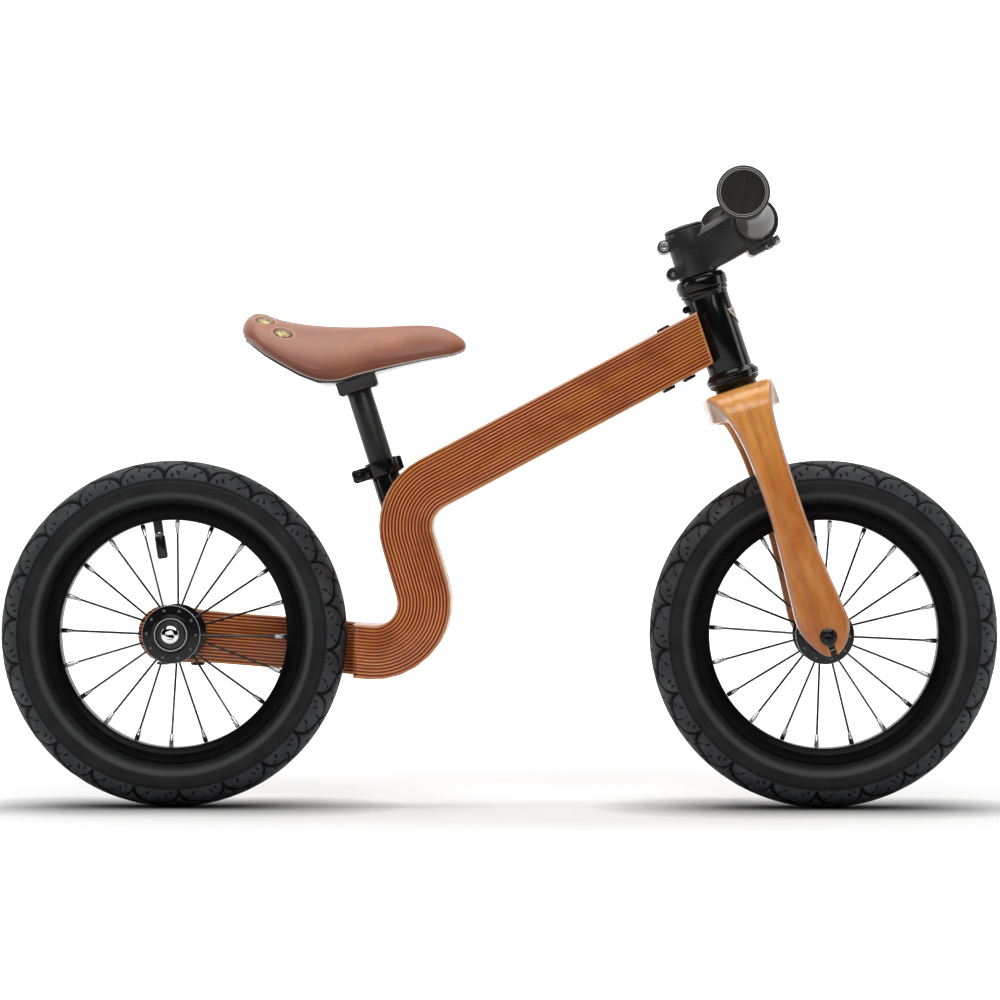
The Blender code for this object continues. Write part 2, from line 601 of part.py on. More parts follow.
def make_inner_tube(prefix, axle, turn):
    """The air-filled tube: a hollow ring with its rubber valve stem, which is open down its middle."""
    centre, outer, wall, sides = 0.1255, 0.0144, 0.0012, 8
    profile = []
    for i in range(sides):
        angle = -2 * math.pi * i / sides
        profile.append((centre + outer * math.cos(angle), outer * math.sin(angle)))
    ring = turned(prefix + "_inner_tube", profile, TYRE_RUBBER, steps=16, closed=True, parent=axle)
    inner = [(centre + (radius - centre) * (outer - wall) / outer, height * (outer - wall) / outer)
             for radius, height in profile]
    line = valve_line(turn)
    stem = turned(prefix + "_valve_stem", [(0.0, 0.1116), (0.0040, 0.1116), (0.0040, 0.0840), (0.0027, 0.0834),
                                           (0.0027, 0.0765), (0.0, 0.0765)],
                  steps=12, parent=axle, rotation=line)
    join(ring, stem)
    cut(ring, turned(prefix + "_air", inner, steps=16, closed=True, parent=axle),
        rod(prefix + "_valve_bore", 0.0013, 0.07, 0.120, steps=8, parent=axle, rotation=line))


def make_valve_cap(prefix, axle, turn):
    cap = [(0.0, 0.0762), (0.0030, 0.0762), (0.0030, 0.0828), (0.0046, 0.0828), (0.0046, 0.0660), (0.0036, 0.0640),
           (0.0, 0.0640)]
    turned(prefix + "_valve_cap", cap, BLACK_PLASTIC, steps=12, parent=axle, rotation=valve_line(turn))


def make_hub(name, axle, turn):
    """A hub shell with ten spokes laced to each flange, all radial."""
    end, flange = HUB_HALF_LENGTH, HUB_FLANGE_Y
    boss, bearing_seat, bore = 0.0152, 0.0123, 0.0090
    half = [(boss, end), (boss, flange + 0.0014), (HUB_FLANGE_RADIUS, flange + 0.0012),
            (HUB_FLANGE_RADIUS, flange - 0.0012), (0.0165, flange - 0.0020), (0.0132, flange - 0.0090)]
    outer = half + [(radius, -height) for radius, height in reversed(half)]
    seat = end - 0.0080
    inside = [(bearing_seat, -end), (bearing_seat, -seat), (bore, -seat), (bore, seat), (bearing_seat, seat),
              (bearing_seat, end)]
    hub = turned(name, outer + inside, BLACK_GLOSS, steps=20, closed=True, parent=axle)
    bm = bmesh.new()
    for index in range(SPOKES):
        side = -1 if index % 2 == 0 else 1
        angle = 2 * math.pi * index / SPOKES + turn
        add_spoke(bm, angle, side)
    spokes = mesh_object(name + "_spokes", bm, parent=axle)
    return join(hub, spokes)


def add_spoke(bm, angle, side):
    """A square spoke with its thicker nipple, from inside the hub's flange to just short of the rim."""
    start = Vector((0.0205, 0, side * HUB_FLANGE_Y * 0.99))
    end = Vector((RIM_INNER_RADIUS - 0.0015, 0, 0))
    length = (end - start).length
    axis = (end - start).normalized()
    across = Vector((0, 1, 0))
    up = axis.cross(across)
    spin = Matrix.Rotation(angle, 3, "Z")
    rows = []
    for distance, radius in ((0, 0.0011), (length - 0.0090, 0.0011), (length - 0.0088, 0.0019), (length, 0.0019)):
        row = []
        for corner in range(4):
            turn = math.pi / 4 + math.pi / 2 * corner
            point = start + axis * distance + (across * math.cos(turn) + up * math.sin(turn)) * radius
            row.append(bm.verts.new(spin @ point))
        rows.append(row)
    faces = [bm.faces.new(rows[0][::-1]), bm.faces.new(rows[-1])]
    for row, following in zip(rows, rows[1:]):
        for i in range(4):
            faces.append(bm.faces.new((row[i], row[(i + 1) % 4], following[(i + 1) % 4], following[i])))
    bmesh.ops.recalc_face_normals(bm, faces=faces)


def make_wheel(prefix, axle, turn):
    make_hub(prefix + "_hub_and_spokes", axle, turn)
    low = HUB_HALF_LENGTH - 0.0075
    for side, name in ((1, "_hub_bearing_left"), (-1, "_hub_bearing_right")):
        heights = sorted((side * low, side * (low + 0.0070)))
        tube(prefix + name, 0.0120, 0.0052, heights[0], heights[1], STEEL, steps=14, parent=axle)
    make_rim(prefix + "_rim", axle, turn)
    make_inner_tube(prefix, axle, turn)
    make_tyre(prefix + "_tyre", axle)
    make_valve_cap(prefix, axle, turn)


def make_rear_axle():
    """A bolt from the right side, through the hub and the stay, into the block let into the stay."""
    head = -HUB_HALF_LENGTH - GAP
    profile = [(0.0, 0.0520), (0.0049, 0.0520), (0.0049, head), (0.0085, head), (0.0085, head - 0.0020),
               (0.0074, head - 0.0045), (0.0050, head - 0.0055), (0.0030, head - 0.0055), (0.0030, head - 0.0020),
               (0.0, head - 0.0020)]
    turned("rear_axle_bolt", profile, CHROME, steps=16, parent=REAR)
    low = HUB_HALF_LENGTH - 0.0075
    tube("rear_axle_sleeve", 0.0075, 0.0052, -low + GAP, low - GAP, STEEL, steps=16, parent=REAR)
    tube("rear_axle_spacer", 0.0085, 0.0052, HUB_HALF_LENGTH + GAP, STAY_INNER_Y - GAP, STEEL, steps=20, parent=REAR)
    axle_block = block("axle_block", (-AXLE_BLOCK[0], -AXLE_BLOCK[1], AXLE_BLOCK_Y),
                       (AXLE_BLOCK[0], AXLE_BLOCK[1], STAY_OUTER_Y - 0.0010), STEEL, bevel=0.0008, parent=REAR)
    cut(axle_block, rod("axle_thread", 0.0052, 0.03, 0.07, steps=20, parent=REAR))
    for side in (-1, 1):
        cut(axle_block, rod(f"block_thread_{side}", BOLT_RADIUS + GAP, 0.10, 0.20, steps=12,
                            location=(REAR_AXLE.x + side * STAY_BOLT_SPACING, 0.0490, 0)))


# ---------------------------------------------------------------- stem, handlebar and grips
def stem_frame():
    """A frame on the handlebar's centre with its X along the stem's extension."""
    frame = axis_frame("stem_extension", (BAR_CENTRE[0], 0, BAR_CENTRE[1]), (0, -STEM_RISE, 0))
    frame.parent = STEERING
    return frame


EXTENSION = stem_frame()
CLAMP_LOW, CLAMP_HIGH = 0.0090, 0.0492
FACEPLATE_BOLT_DROP = 0.0218
FACEPLATE_BOLT_Y = 0.0130
FACEPLATE_LUG = 0.0082
CLAMP_BOLTS = {"upper": 0.0405, "lower": 0.0165}
CLAMP_BOLT_F = -0.0207


def extension_rings():
    """The extension's tapering section, from inside the steerer clamp to the bar clamp's back."""
    rings = []
    for x, half_y, low, high in ((-0.052, 0.0150, -0.0205, 0.0150), (-0.030, 0.0155, -0.0200, 0.0165),
                                 (-0.010, 0.0195, -0.0190, 0.0180)):
        bevel = 0.005
        rings.append([(x, y, z) for y, z in (
            (half_y, high - bevel), (half_y - bevel, high), (-half_y + bevel, high), (-half_y, high - bevel),
            (-half_y, low + bevel), (-half_y + bevel, low), (half_y - bevel, low), (half_y, low + bevel))])
    return rings


def make_stem():
    stem = loft("stem_body", extension_rings(), BLACK_SATIN, parent=EXTENSION)
    across = (math.pi / 2, 0, 0)
    join(stem,
         rod("steerer_clamp", 0.0174, CLAMP_LOW, CLAMP_HIGH, steps=24, bevel=0.0008, parent=STEERING),
         rod("bar_clamp", 0.0198, -0.0210, 0.0210, steps=24, bevel=0.0008, parent=EXTENSION, rotation=across),
         block("lugs", (-0.0160, -0.0185, -0.0255), (0.0030, 0.0185, 0.0255), bevel=0.0025, parent=EXTENSION))
    for name, height in CLAMP_BOLTS.items():
        join(stem, rod(f"{name}_ear", 0.0056, -0.0148, 0.0148, steps=16, parent=STEERING,
                       location=(CLAMP_BOLT_F, 0, height), rotation=across),
             block(f"{name}_ear_web", (CLAMP_BOLT_F, -0.0140, height - 0.0052), (-0.006, 0.0140, height + 0.0052),
                   parent=STEERING))
    cut(stem,
        rod("steerer_bore", STEERER_RADIUS + GAP, -0.01, 0.06, steps=24, parent=STEERING),
        rod("bar_bore", BAR_CLAMP_RADIUS + GAP, -0.03, 0.03, steps=30, parent=EXTENSION, rotation=across),
        block("faceplate_split", (-0.0014, -0.03, -0.03), (0.03, 0.03, 0.03), parent=EXTENSION),
        block("clamp_slit", (-0.035, -0.0010, -0.01), (-0.005, 0.0010, 0.06), parent=STEERING))
    for name, height in CLAMP_BOLTS.items():
        cut(stem, rod(f"{name}_clamp_hole", 0.0027, -0.03, 0.03, steps=12, parent=STEERING,
                      location=(CLAMP_BOLT_F, 0, height), rotation=across))
    for name, y, z in faceplate_bolt_places():
        cut(stem, rod(f"body_hole_{name}", 0.0023, -0.0125, 0.02, steps=12, parent=EXTENSION, location=(0, y, z),
                      rotation=(0, math.pi / 2, 0)))
    return stem


def faceplate_bolt_places():
    for level, z in (("upper", FACEPLATE_BOLT_DROP), ("lower", -FACEPLATE_BOLT_DROP)):
        for side, y in (("left", FACEPLATE_BOLT_Y), ("right", -FACEPLATE_BOLT_Y)):
            yield f"{level}_{side}", y, z


def make_faceplate():
    across = (math.pi / 2, 0, 0)
    plate = rod("stem_faceplate", 0.0198, -0.0205, 0.0205, BLACK_SATIN, steps=24, bevel=0.0008, parent=EXTENSION,
                rotation=across)
    join(plate, block("faceplate_lugs", (-0.0010, -0.0180, -0.0255), (FACEPLATE_LUG, 0.0180, 0.0255), bevel=0.0020,
                      parent=EXTENSION))
    cut(plate,
        rod("faceplate_bore", BAR_CLAMP_RADIUS + GAP, -0.03, 0.03, steps=30, parent=EXTENSION, rotation=across),
        block("faceplate_back", (-0.03, -0.03, -0.03), (0.0003, 0.03, 0.03), parent=EXTENSION),
        block("faceplate_window", (0.0, -0.0065, -0.0300), (0.03, 0.0065, -0.0190), parent=EXTENSION),
        block("faceplate_window_top", (0.0, -0.0065, 0.0190), (0.03, 0.0065, 0.0300), parent=EXTENSION))
    for name, y, z in faceplate_bolt_places():
        cut(plate, rod(f"faceplate_hole_{name}", 0.0023, -0.03, 0.03, steps=12, parent=EXTENSION, location=(0, y, z),
                       rotation=(0, math.pi / 2, 0)))


def socket_bolt(name, shank, head, length, head_height, socket, mat, steps=12, **place):
    """A socket cap bolt along local Z: head on top of z = 0, shank below it."""
    profile = [(0.0, head_height - 0.0016), (socket, head_height - 0.0016), (socket, head_height), (head, head_height),
               (head, 0.0), (shank, 0.0), (shank, -length), (0.0, -length)]
    return turned(name, profile, mat, steps=steps, **place)


def make_stem_bolts():
    for name, y, z in faceplate_bolt_places():
        socket_bolt(f"faceplate_bolt_{name}", 0.0020, 0.0034, 0.0195, 0.0040, 0.0016, STEEL, steps=10,
                    parent=EXTENSION, location=(FACEPLATE_LUG + GAP, y, z), rotation=(0, math.pi / 2, 0))
    for name, side in (("upper", 1), ("lower", -1)):
        socket_bolt(f"stem_clamp_bolt_{name}", 0.0024, 0.0041, 0.0280, 0.0030, 0.0019, STEEL, steps=12,
                    parent=STEERING, location=(CLAMP_BOLT_F, -side * (0.0148 + GAP), CLAMP_BOLTS[name]),
                    rotation=(side * math.pi / 2, 0, 0))
    cap = [(0.0056, 0.0525), (0.0150, 0.0525), (0.0170, 0.0512), (0.0170, CLAMP_HIGH + GAP),
           (0.0036, CLAMP_HIGH + GAP), (0.0036, 0.0507), (0.0056, 0.0507)]
    turned("stem_top_cap", cap, BLACK_SATIN, steps=24, closed=True, parent=STEERING)
    socket_bolt("top_cap_bolt", 0.0029, 0.0050, 0.0250, 0.0024, 0.0022, BLACK_GLOSS, steps=12, parent=STEERING,
                location=(0, 0, 0.0507 + GAP))


def bar_point(x, y, z):
    """A handlebar point, given in world metres for the left half."""
    return Vector((x, y, z))


BAR_WORLD = Vector((HEAD_POINT[0] + BAR_CENTRE[0] * math.cos(HEAD_ANGLE) - BAR_CENTRE[1] * math.sin(HEAD_ANGLE), 0,
                    HEAD_POINT[1] + BAR_CENTRE[0] * math.sin(HEAD_ANGLE) + BAR_CENTRE[1] * math.cos(HEAD_ANGLE)))
GRIP_INNER = bar_point(0.2050, GRIP_START, 0.5020)
GRIP_OUTER = bar_point(0.1972, GRIP_END, 0.5012)


def make_handlebar():
    half = [BAR_WORLD, BAR_WORLD + Vector((0, 0.024, 0)), BAR_WORLD + Vector((-0.0010, 0.040, 0.0018)),
            bar_point(0.2095, 0.070, 0.4988)]
    half += [GRIP_INNER.lerp(GRIP_OUTER, t) for t in (-0.055, 0.01, 0.12, 0.45, 0.965)]
    right = smooth_path([Vector((p.x, -p.y, p.z)) for p in reversed(half)], 2)
    left = [Vector((p.x, -p.y, p.z)) for p in reversed(right)][1:]
    points = right + left
    bulge = BAR_CLAMP_RADIUS / BAR_RADIUS
    scales = []
    for point in points:
        t = min(max((abs(point.y) - 0.026) / 0.040, 0.0), 1.0)
        scales.append(bulge + (1.0 - bulge) * t * t * (3 - 2 * t))
    curve_tube("handlebar", points, BAR_RADIUS, BLACK_SATIN, 5, scales)


def make_grip(name, side):
    """A rubber sleeve with a closed, flanged outer end."""
    start = Vector((GRIP_INNER.x, side * GRIP_INNER.y, GRIP_INNER.z))
    end = Vector((GRIP_OUTER.x, side * GRIP_OUTER.y, GRIP_OUTER.z))
    length = (end - start).length
    bore = BAR_RADIUS + GAP
    profile = [(0.0, length), (0.0190, length), (0.0213, length - 0.0012), (0.0213, length - 0.0040),
               (0.0160, length - 0.0062), (0.0146, length - 0.0090), (0.0142, 0.0060), (0.0150, 0.0045),
               (0.0152, 0.0010), (0.0144, 0.0), (bore, 0.0), (bore, length - 0.0030), (0.0, length - 0.0030)]
    turn = (end - start).to_track_quat("Z", "Y").to_euler()
    turned(name, profile, GRIP_RUBBER, steps=22, location=start, rotation=turn)


# ---------------------------------------------------------------- seat
def make_seat_clamp():
    tube_steps = 28
    tube("seat_tube", SEAT_TUBE_RADIUS, SEAT_POST_RADIUS + 0.0002, SEAT_TUBE_BOTTOM, SEAT_TUBE_TOP, BLACK_GLOSS,
         steps=tube_steps, parent=SEAT)
    low, high = SEAT_TUBE_TOP - 0.0122, SEAT_TUBE_TOP + 0.0010
    collar = rod("seat_clamp_collar", 0.0148, low, high, BLACK_GLOSS, steps=24, bevel=0.0008, parent=SEAT)
    join(collar, block("collar_ears", (-0.0268, -0.0080, low + 0.0004), (-0.0090, 0.0080, high - 0.0018), bevel=0.0018,
                       parent=SEAT),
         block("collar_stop", (0.0100, -0.0035, low + 0.0010), (0.0172, 0.0035, high - 0.0005), bevel=0.0010,
               parent=SEAT))
    across = (math.pi / 2, 0, 0)
    centre = (-0.0216, 0, (low + high) / 2 - 0.0006)
    cut(collar,
        rod("collar_bore", SEAT_TUBE_RADIUS + GAP, low - 0.01, SEAT_TUBE_TOP + GAP, steps=24, parent=SEAT),
        rod("collar_lip_bore", SEAT_POST_RADIUS + GAP, low, high + 0.01, steps=24, parent=SEAT),
        block("collar_slit", (-0.04, -0.0008, low - 0.01), (-0.005, 0.0008, high + 0.01), parent=SEAT),
        rod("collar_bolt_hole", 0.0028, -0.02, 0.02, steps=12, parent=SEAT, location=centre, rotation=across))
    socket_bolt("seat_clamp_bolt", 0.0025, 0.0044, 0.0160, 0.0035, 0.0020, BLACK_GLOSS, steps=12, parent=SEAT,
                location=(centre[0], -0.0080 - GAP, centre[2]), rotation=across)


SADDLE_STATIONS = (
    # x, top, skirt's edge, half width
    (-0.2140, 0.4075, 0.3990, 0.0180), (-0.2105, 0.4122, 0.3945, 0.0340), (-0.2020, 0.4150, 0.3880, 0.0480),
    (-0.1930, 0.4136, 0.3812, 0.0555), (-0.1800, 0.4098, 0.3735, 0.0600), (-0.1640, 0.4070, 0.3648, 0.0620),
    (-0.1480, 0.4054, 0.3590, 0.0610), (-0.1320, 0.4047, 0.3590, 0.0545), (-0.1160, 0.4045, 0.3640, 0.0450),
    (-0.1000, 0.4048, 0.3684, 0.0360), (-0.0840, 0.4055, 0.3722, 0.0295), (-0.0660, 0.4060, 0.3762, 0.0245),
    (-0.0500, 0.4042, 0.3793, 0.0210), (-0.0380, 0.3988, 0.3815, 0.0170), (-0.0300, 0.3925, 0.3845, 0.0105),
    (-0.0272, 0.3895, 0.3868, 0.0045),
)
SADDLE_ROLL = 0.15            # how far up the skirt the saddle is widest, as a part of its height
SADDLE_TUCK = 0.90            # the skirt's lower edge, as a part of the full width
RIVETS = {"centre": (-0.2010, 0.0), "left": (-0.1945, 0.0235), "right": (-0.1945, -0.0235),
          "left_corner": (-0.1785, 0.0385), "right_corner": (-0.1785, -0.0385)}


def saddle_rise(across):
    """The dome's height over the roll at a part of the half width, from 1 on the centreline to 0 at the edge."""
    return max(1.0 - abs(across) ** 1.7, 0.0) ** 0.75


def saddle_ring(x, top, edge, half):
    """A domed section that is widest a little way up, and tucks in to the skirt's edge."""
    height = top - edge
    ring = [(x, SADDLE_TUCK * half, edge)]
    for across in (1.0, 0.93, 0.80, 0.58, 0.30, 0.0, -0.30, -0.58, -0.80, -0.93, -1.0):
        lift = SADDLE_ROLL + (1.0 - SADDLE_ROLL) * saddle_rise(across)
        ring.append((x, across * half, edge + height * lift))
    return ring + [(x, -SADDLE_TUCK * half, edge)]


def saddle_surface(x, y):
    """The height of the saddle's top over a point, by the same sections as the cover."""
    for before, after in zip(SADDLE_STATIONS, SADDLE_STATIONS[1:]):
        if before[0] <= x <= after[0]:
            t = (x - before[0]) / (after[0] - before[0])
            top, edge, half = (before[i] + (after[i] - before[i]) * t for i in (1, 2, 3))
            return edge + (top - edge) * (SADDLE_ROLL + (1.0 - SADDLE_ROLL) * saddle_rise(y / half))
    return SADDLE_STATIONS[0][1]


def rivet_place(x, y):
    """A point of the saddle's surface and the rotation that turns local Z along its normal."""
    step = 0.004
    slope_x = (saddle_surface(x + step, y) - saddle_surface(x - step, y)) / (2 * step)
    slope_y = (saddle_surface(x, y + step) - saddle_surface(x, y - step)) / (2 * step)
    normal = Vector((-slope_x, -slope_y, 1.0)).normalized()
    return Vector((x, y, saddle_surface(x, y))), normal.to_track_quat("Z", "Y").to_euler()


def make_saddle():
    cover = loft("saddle_cover", [saddle_ring(*station) for station in SADDLE_STATIONS], LEATHER)
    for name, (x, y) in RIVETS.items():
        place, turn = rivet_place(x, y)
        cut(cover, rod(f"rivet_seat_{name}", 0.0078, -0.0022, 0.02, steps=16, location=place, rotation=turn))
        profile = [(0.0, 0.0012), (0.0040, 0.0008), (0.0068, -0.0002), (0.0075, -0.0012), (0.0075, -0.0019),
                   (0.0, -0.0019)]
        turned(f"saddle_rivet_{name}", profile, BRASS, steps=14, location=place, rotation=turn)
    base_rings = []
    for x, _top, edge, half in SADDLE_STATIONS[1:-1]:
        thinning = min(max((x + 0.150) / 0.080, 0.0), 1.0)
        high, low = edge - GAP, edge - 0.0032 + 0.0016 * thinning
        base_rings.append([(x, half * 0.87, high), (x, -half * 0.87, high), (x, -half * 0.83, low),
                           (x, half * 0.83, low)])
    base = loft("saddle_base", base_rings, BLACK_PLASTIC)
    above = [[(x, 0.08, edge - GAP), (x, -0.08, edge - GAP), (x, -0.08, 0.45), (x, 0.08, 0.45)]
             for x, _top, edge, _half in SADDLE_STATIONS]
    join(base, block("clamp_housing", (-0.0165, -0.0160, 0.0270), (0.0180, 0.0160, 0.0600), bevel=0.002, parent=SEAT))
    cut(base,
        loft("cover_space", above),
        rod("post_socket", SEAT_POST_RADIUS + GAP, 0.0, SEAT_POST_TOP + GAP, steps=24, parent=SEAT))


def make_seat_post():
    tube("seat_post", SEAT_POST_RADIUS, 0.0090, SEAT_TUBE_TOP - 0.0750, SEAT_POST_TOP, BLACK_SATIN, steps=24,
         parent=SEAT)


make_frame_beam()
make_beam_fasteners()
make_head_tube()
make_headset()
make_fork()
make_front_axle()
make_wheel("rear", REAR, REAR_WHEEL_TURN)
make_wheel("front", FRONT, FRONT_WHEEL_TURN)
make_rear_axle()
make_stem()
make_faceplate()
make_stem_bolts()
make_handlebar()
make_grip("grip_left", 1)
make_grip("grip_right", -1)
make_seat_clamp()
make_seat_post()
make_saddle()
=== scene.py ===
"""Looks of a wooden balance bike: tyres, wheels, fork, saddle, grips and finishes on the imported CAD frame.

Lengths are in metres. X points to the front of the bike, Y to its left and Z up.
"""
import json
import math

import bmesh
import bpy
import numpy as np
from mathutils import Matrix, Vector

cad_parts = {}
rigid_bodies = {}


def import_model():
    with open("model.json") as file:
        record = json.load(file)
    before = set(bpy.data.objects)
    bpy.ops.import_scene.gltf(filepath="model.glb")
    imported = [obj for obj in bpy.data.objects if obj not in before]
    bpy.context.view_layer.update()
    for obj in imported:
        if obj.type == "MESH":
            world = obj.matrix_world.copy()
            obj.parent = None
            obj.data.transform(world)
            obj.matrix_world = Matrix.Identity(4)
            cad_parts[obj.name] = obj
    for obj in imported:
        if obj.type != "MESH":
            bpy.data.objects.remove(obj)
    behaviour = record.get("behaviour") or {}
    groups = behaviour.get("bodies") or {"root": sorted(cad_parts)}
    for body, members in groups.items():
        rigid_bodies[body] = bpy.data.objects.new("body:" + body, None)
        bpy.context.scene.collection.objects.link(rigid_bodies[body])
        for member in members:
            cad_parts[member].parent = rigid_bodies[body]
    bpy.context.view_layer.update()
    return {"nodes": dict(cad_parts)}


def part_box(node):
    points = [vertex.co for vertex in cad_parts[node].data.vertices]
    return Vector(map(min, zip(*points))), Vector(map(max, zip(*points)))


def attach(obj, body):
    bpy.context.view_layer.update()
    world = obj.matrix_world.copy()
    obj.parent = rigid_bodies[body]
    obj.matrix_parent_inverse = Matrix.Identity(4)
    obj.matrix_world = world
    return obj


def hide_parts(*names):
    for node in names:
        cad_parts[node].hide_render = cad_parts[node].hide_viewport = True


for leftover in list(bpy.data.objects):
    bpy.data.objects.remove(leftover)

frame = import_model()
NODES = frame["nodes"]

# ---------------------------------------------------------------- driving sizes
WHEEL_RADIUS = 0.146
AXLE_X = 0.2734
WHEEL_TURN = {"rear": math.radians(1.6), "front": math.radians(3.4)}
TREAD_TURN = {"rear": math.radians(-2.5), "front": math.radians(3.0)}
VALVE_ANGLE = math.radians(-100.2)
SPOKES = 20
HUB_FLANGE_RADIUS = 0.0245
HUB_FLANGE_Y = 0.025
HUB_HALF_LENGTH = 0.030
RIM_INNER_RADIUS = 0.0958
SCALLOPS = 22

HEAD_POINT = Vector((0.1719, 0.0, 0.4390))
HEAD_ANGLE = math.radians(18.46)
HEAD_FORWARD = Vector((math.cos(HEAD_ANGLE), 0, math.sin(HEAD_ANGLE)))
HEAD_UP = Vector((-math.sin(HEAD_ANGLE), 0, math.cos(HEAD_ANGLE)))
FORK_LEG_Y = 0.057
STEERER_RADIUS = 0.0143
FORK_AXLE = (0.0035, -0.3104)
BEAM_ANGLE = math.radians(28.05)
BEAM_HALF = 0.0222
PLIES = 16
BAR_CENTRE = (0.0578, 0.0366)
BAR_RADIUS = 0.0111
BAR_CLAMP_RADIUS = 0.0159

STEERING = Matrix.Translation(HEAD_POINT) @ Matrix.Rotation(-HEAD_ANGLE, 4, "Y")


# ---------------------------------------------------------------- mesh helpers
def smoothstep(t):
    t = np.clip(t, 0.0, 1.0)
    return t * t * (3.0 - 2.0 * t)


def face_outward(mesh, weld=0.0):
    """Turn all faces outward, after welding points closer than a distance."""
    bm = bmesh.new()
    bm.from_mesh(mesh)
    if weld:
        bmesh.ops.remove_doubles(bm, verts=bm.verts[:], dist=weld)
    bmesh.ops.recalc_face_normals(bm, faces=bm.faces[:])
    bm.to_mesh(mesh)
    bm.free()


def paint(mesh, name, values):
    """Store one number per point, for the piece's material."""
    values = np.asarray(values, np.float32).reshape(-1)
    mesh.attributes.new(name, "FLOAT", "POINT").data.foreach_set("value", values)


def new_object(name, data):
    """An object for the mesh, light or camera, linked into the scene."""
    obj = bpy.data.objects.new(name, data)
    bpy.context.scene.collection.objects.link(obj)
    return obj


def finish_mesh(name, mesh, mat, body, replaces=(), matrix=None, angle=32.0):
    """Make the piece from its mesh, shade it, and let it ride on its body."""
    mesh.validate()
    mesh.shade_smooth()
    mesh.set_sharp_from_angle(angle=math.radians(angle))
    obj = new_object(name, mesh)
    if not mesh.materials:
        mesh.materials.append(mat)
    if matrix is not None:
        obj.matrix_world = matrix
    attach(obj, body)
    if replaces:
        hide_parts(*replaces)
    return obj


def grid_mesh(name, rows, wrap_rows=False, wrap_columns=True, caps=False):
    """A mesh from an array of points, rows by columns."""
    count, width = rows.shape[:2]
    index = np.arange(count * width).reshape(count, width)
    if wrap_rows:
        index = np.vstack([index, index[:1]])
    if wrap_columns:
        index = np.hstack([index, index[:, :1]])
    quads = np.stack([index[:-1, :-1], index[:-1, 1:], index[1:, 1:], index[1:, :-1]], axis=-1).reshape(-1, 4)
    faces = quads.tolist()
    if caps:
        faces.append(list(range(width))[::-1])
        faces.append(list(range((count - 1) * width, count * width)))
    mesh = bpy.data.meshes.new(name)
    mesh.from_pydata(rows.reshape(-1, 3).tolist(), [], faces)
    face_outward(mesh)
    return mesh


def lathe(name, profile, steps, closed=True):
    """Turn a (radius, height) profile about local Z. An open profile starts and ends on the axis."""
    profile = np.array(profile, float)
    angles = np.arange(steps) * 2 * math.pi / steps
    rows = np.zeros((steps, len(profile), 3))
    rows[:, :, 0] = np.cos(angles)[:, None] * profile[None, :, 0]
    rows[:, :, 1] = np.sin(angles)[:, None] * profile[None, :, 0]
    rows[:, :, 2] = profile[None, :, 1]
    mesh = grid_mesh(name, rows, wrap_rows=True, wrap_columns=closed)
    if not closed:
        face_outward(mesh, 1e-6)
    return mesh


def catmull(points, steps):
    """Points on a smooth curve through the given rows of numbers."""
    points = np.array(points, float)
    ends = np.vstack([2 * points[0] - points[1], points, 2 * points[-1] - points[-2]])
    path = []
    for i in range(1, len(ends) - 2):
        a, b, c, d = ends[i - 1:i + 3]
        for step in range(steps):
            t = step / steps
            path.append(0.5 * (2 * b + (c - a) * t + (2 * a - 5 * b + 4 * c - d) * t ** 2 +
                (3 * b - a - 3 * c + d) * t ** 3))
    path.append(points[-1])
    return np.array(path)


def mirrored(half):
    """A (radius, height) profile that ends at height 0, followed by its mirror image."""
    return half + [(r, -y) for r, y in reversed(half[:-1])]


def rounded(corners, steps=4):
    """Round the corners of an open profile of (radius, height, fillet) rows."""
    out = []
    for i, (x, y, fillet) in enumerate(corners):
        here = Vector((x, y))
        if fillet <= 0.0 or i in (0, len(corners) - 1):
            out.append(here)
            continue
        before = (Vector(corners[i - 1][:2]) - here).normalized()
        after = (Vector(corners[i + 1][:2]) - here).normalized()
        start, end = here + before * fillet, here + after * fillet
        for step in range(steps + 1):
            t = step / steps
            out.append((1 - t) ** 2 * start + 2 * t * (1 - t) * here + t * t * end)
    return [(p.x, p.y) for p in out]


def tube_along(name, points, radii, sides):
    """A closed tube round a path of points."""
    points = [Vector(p) for p in points]
    up = Vector((0, 0, 1))
    rows = np.zeros((len(points), sides, 3))
    for i, point in enumerate(points):
        ahead = points[min(i + 1, len(points) - 1)] - points[max(i - 1, 0)]
        side = ahead.cross(up).normalized()
        lift = side.cross(ahead).normalized()
        for j in range(sides):
            turn = 2 * math.pi * j / sides
            rows[i, j] = point + (side * math.cos(turn) + lift * math.sin(turn)) * radii[i]
    return grid_mesh(name, rows, caps=True)


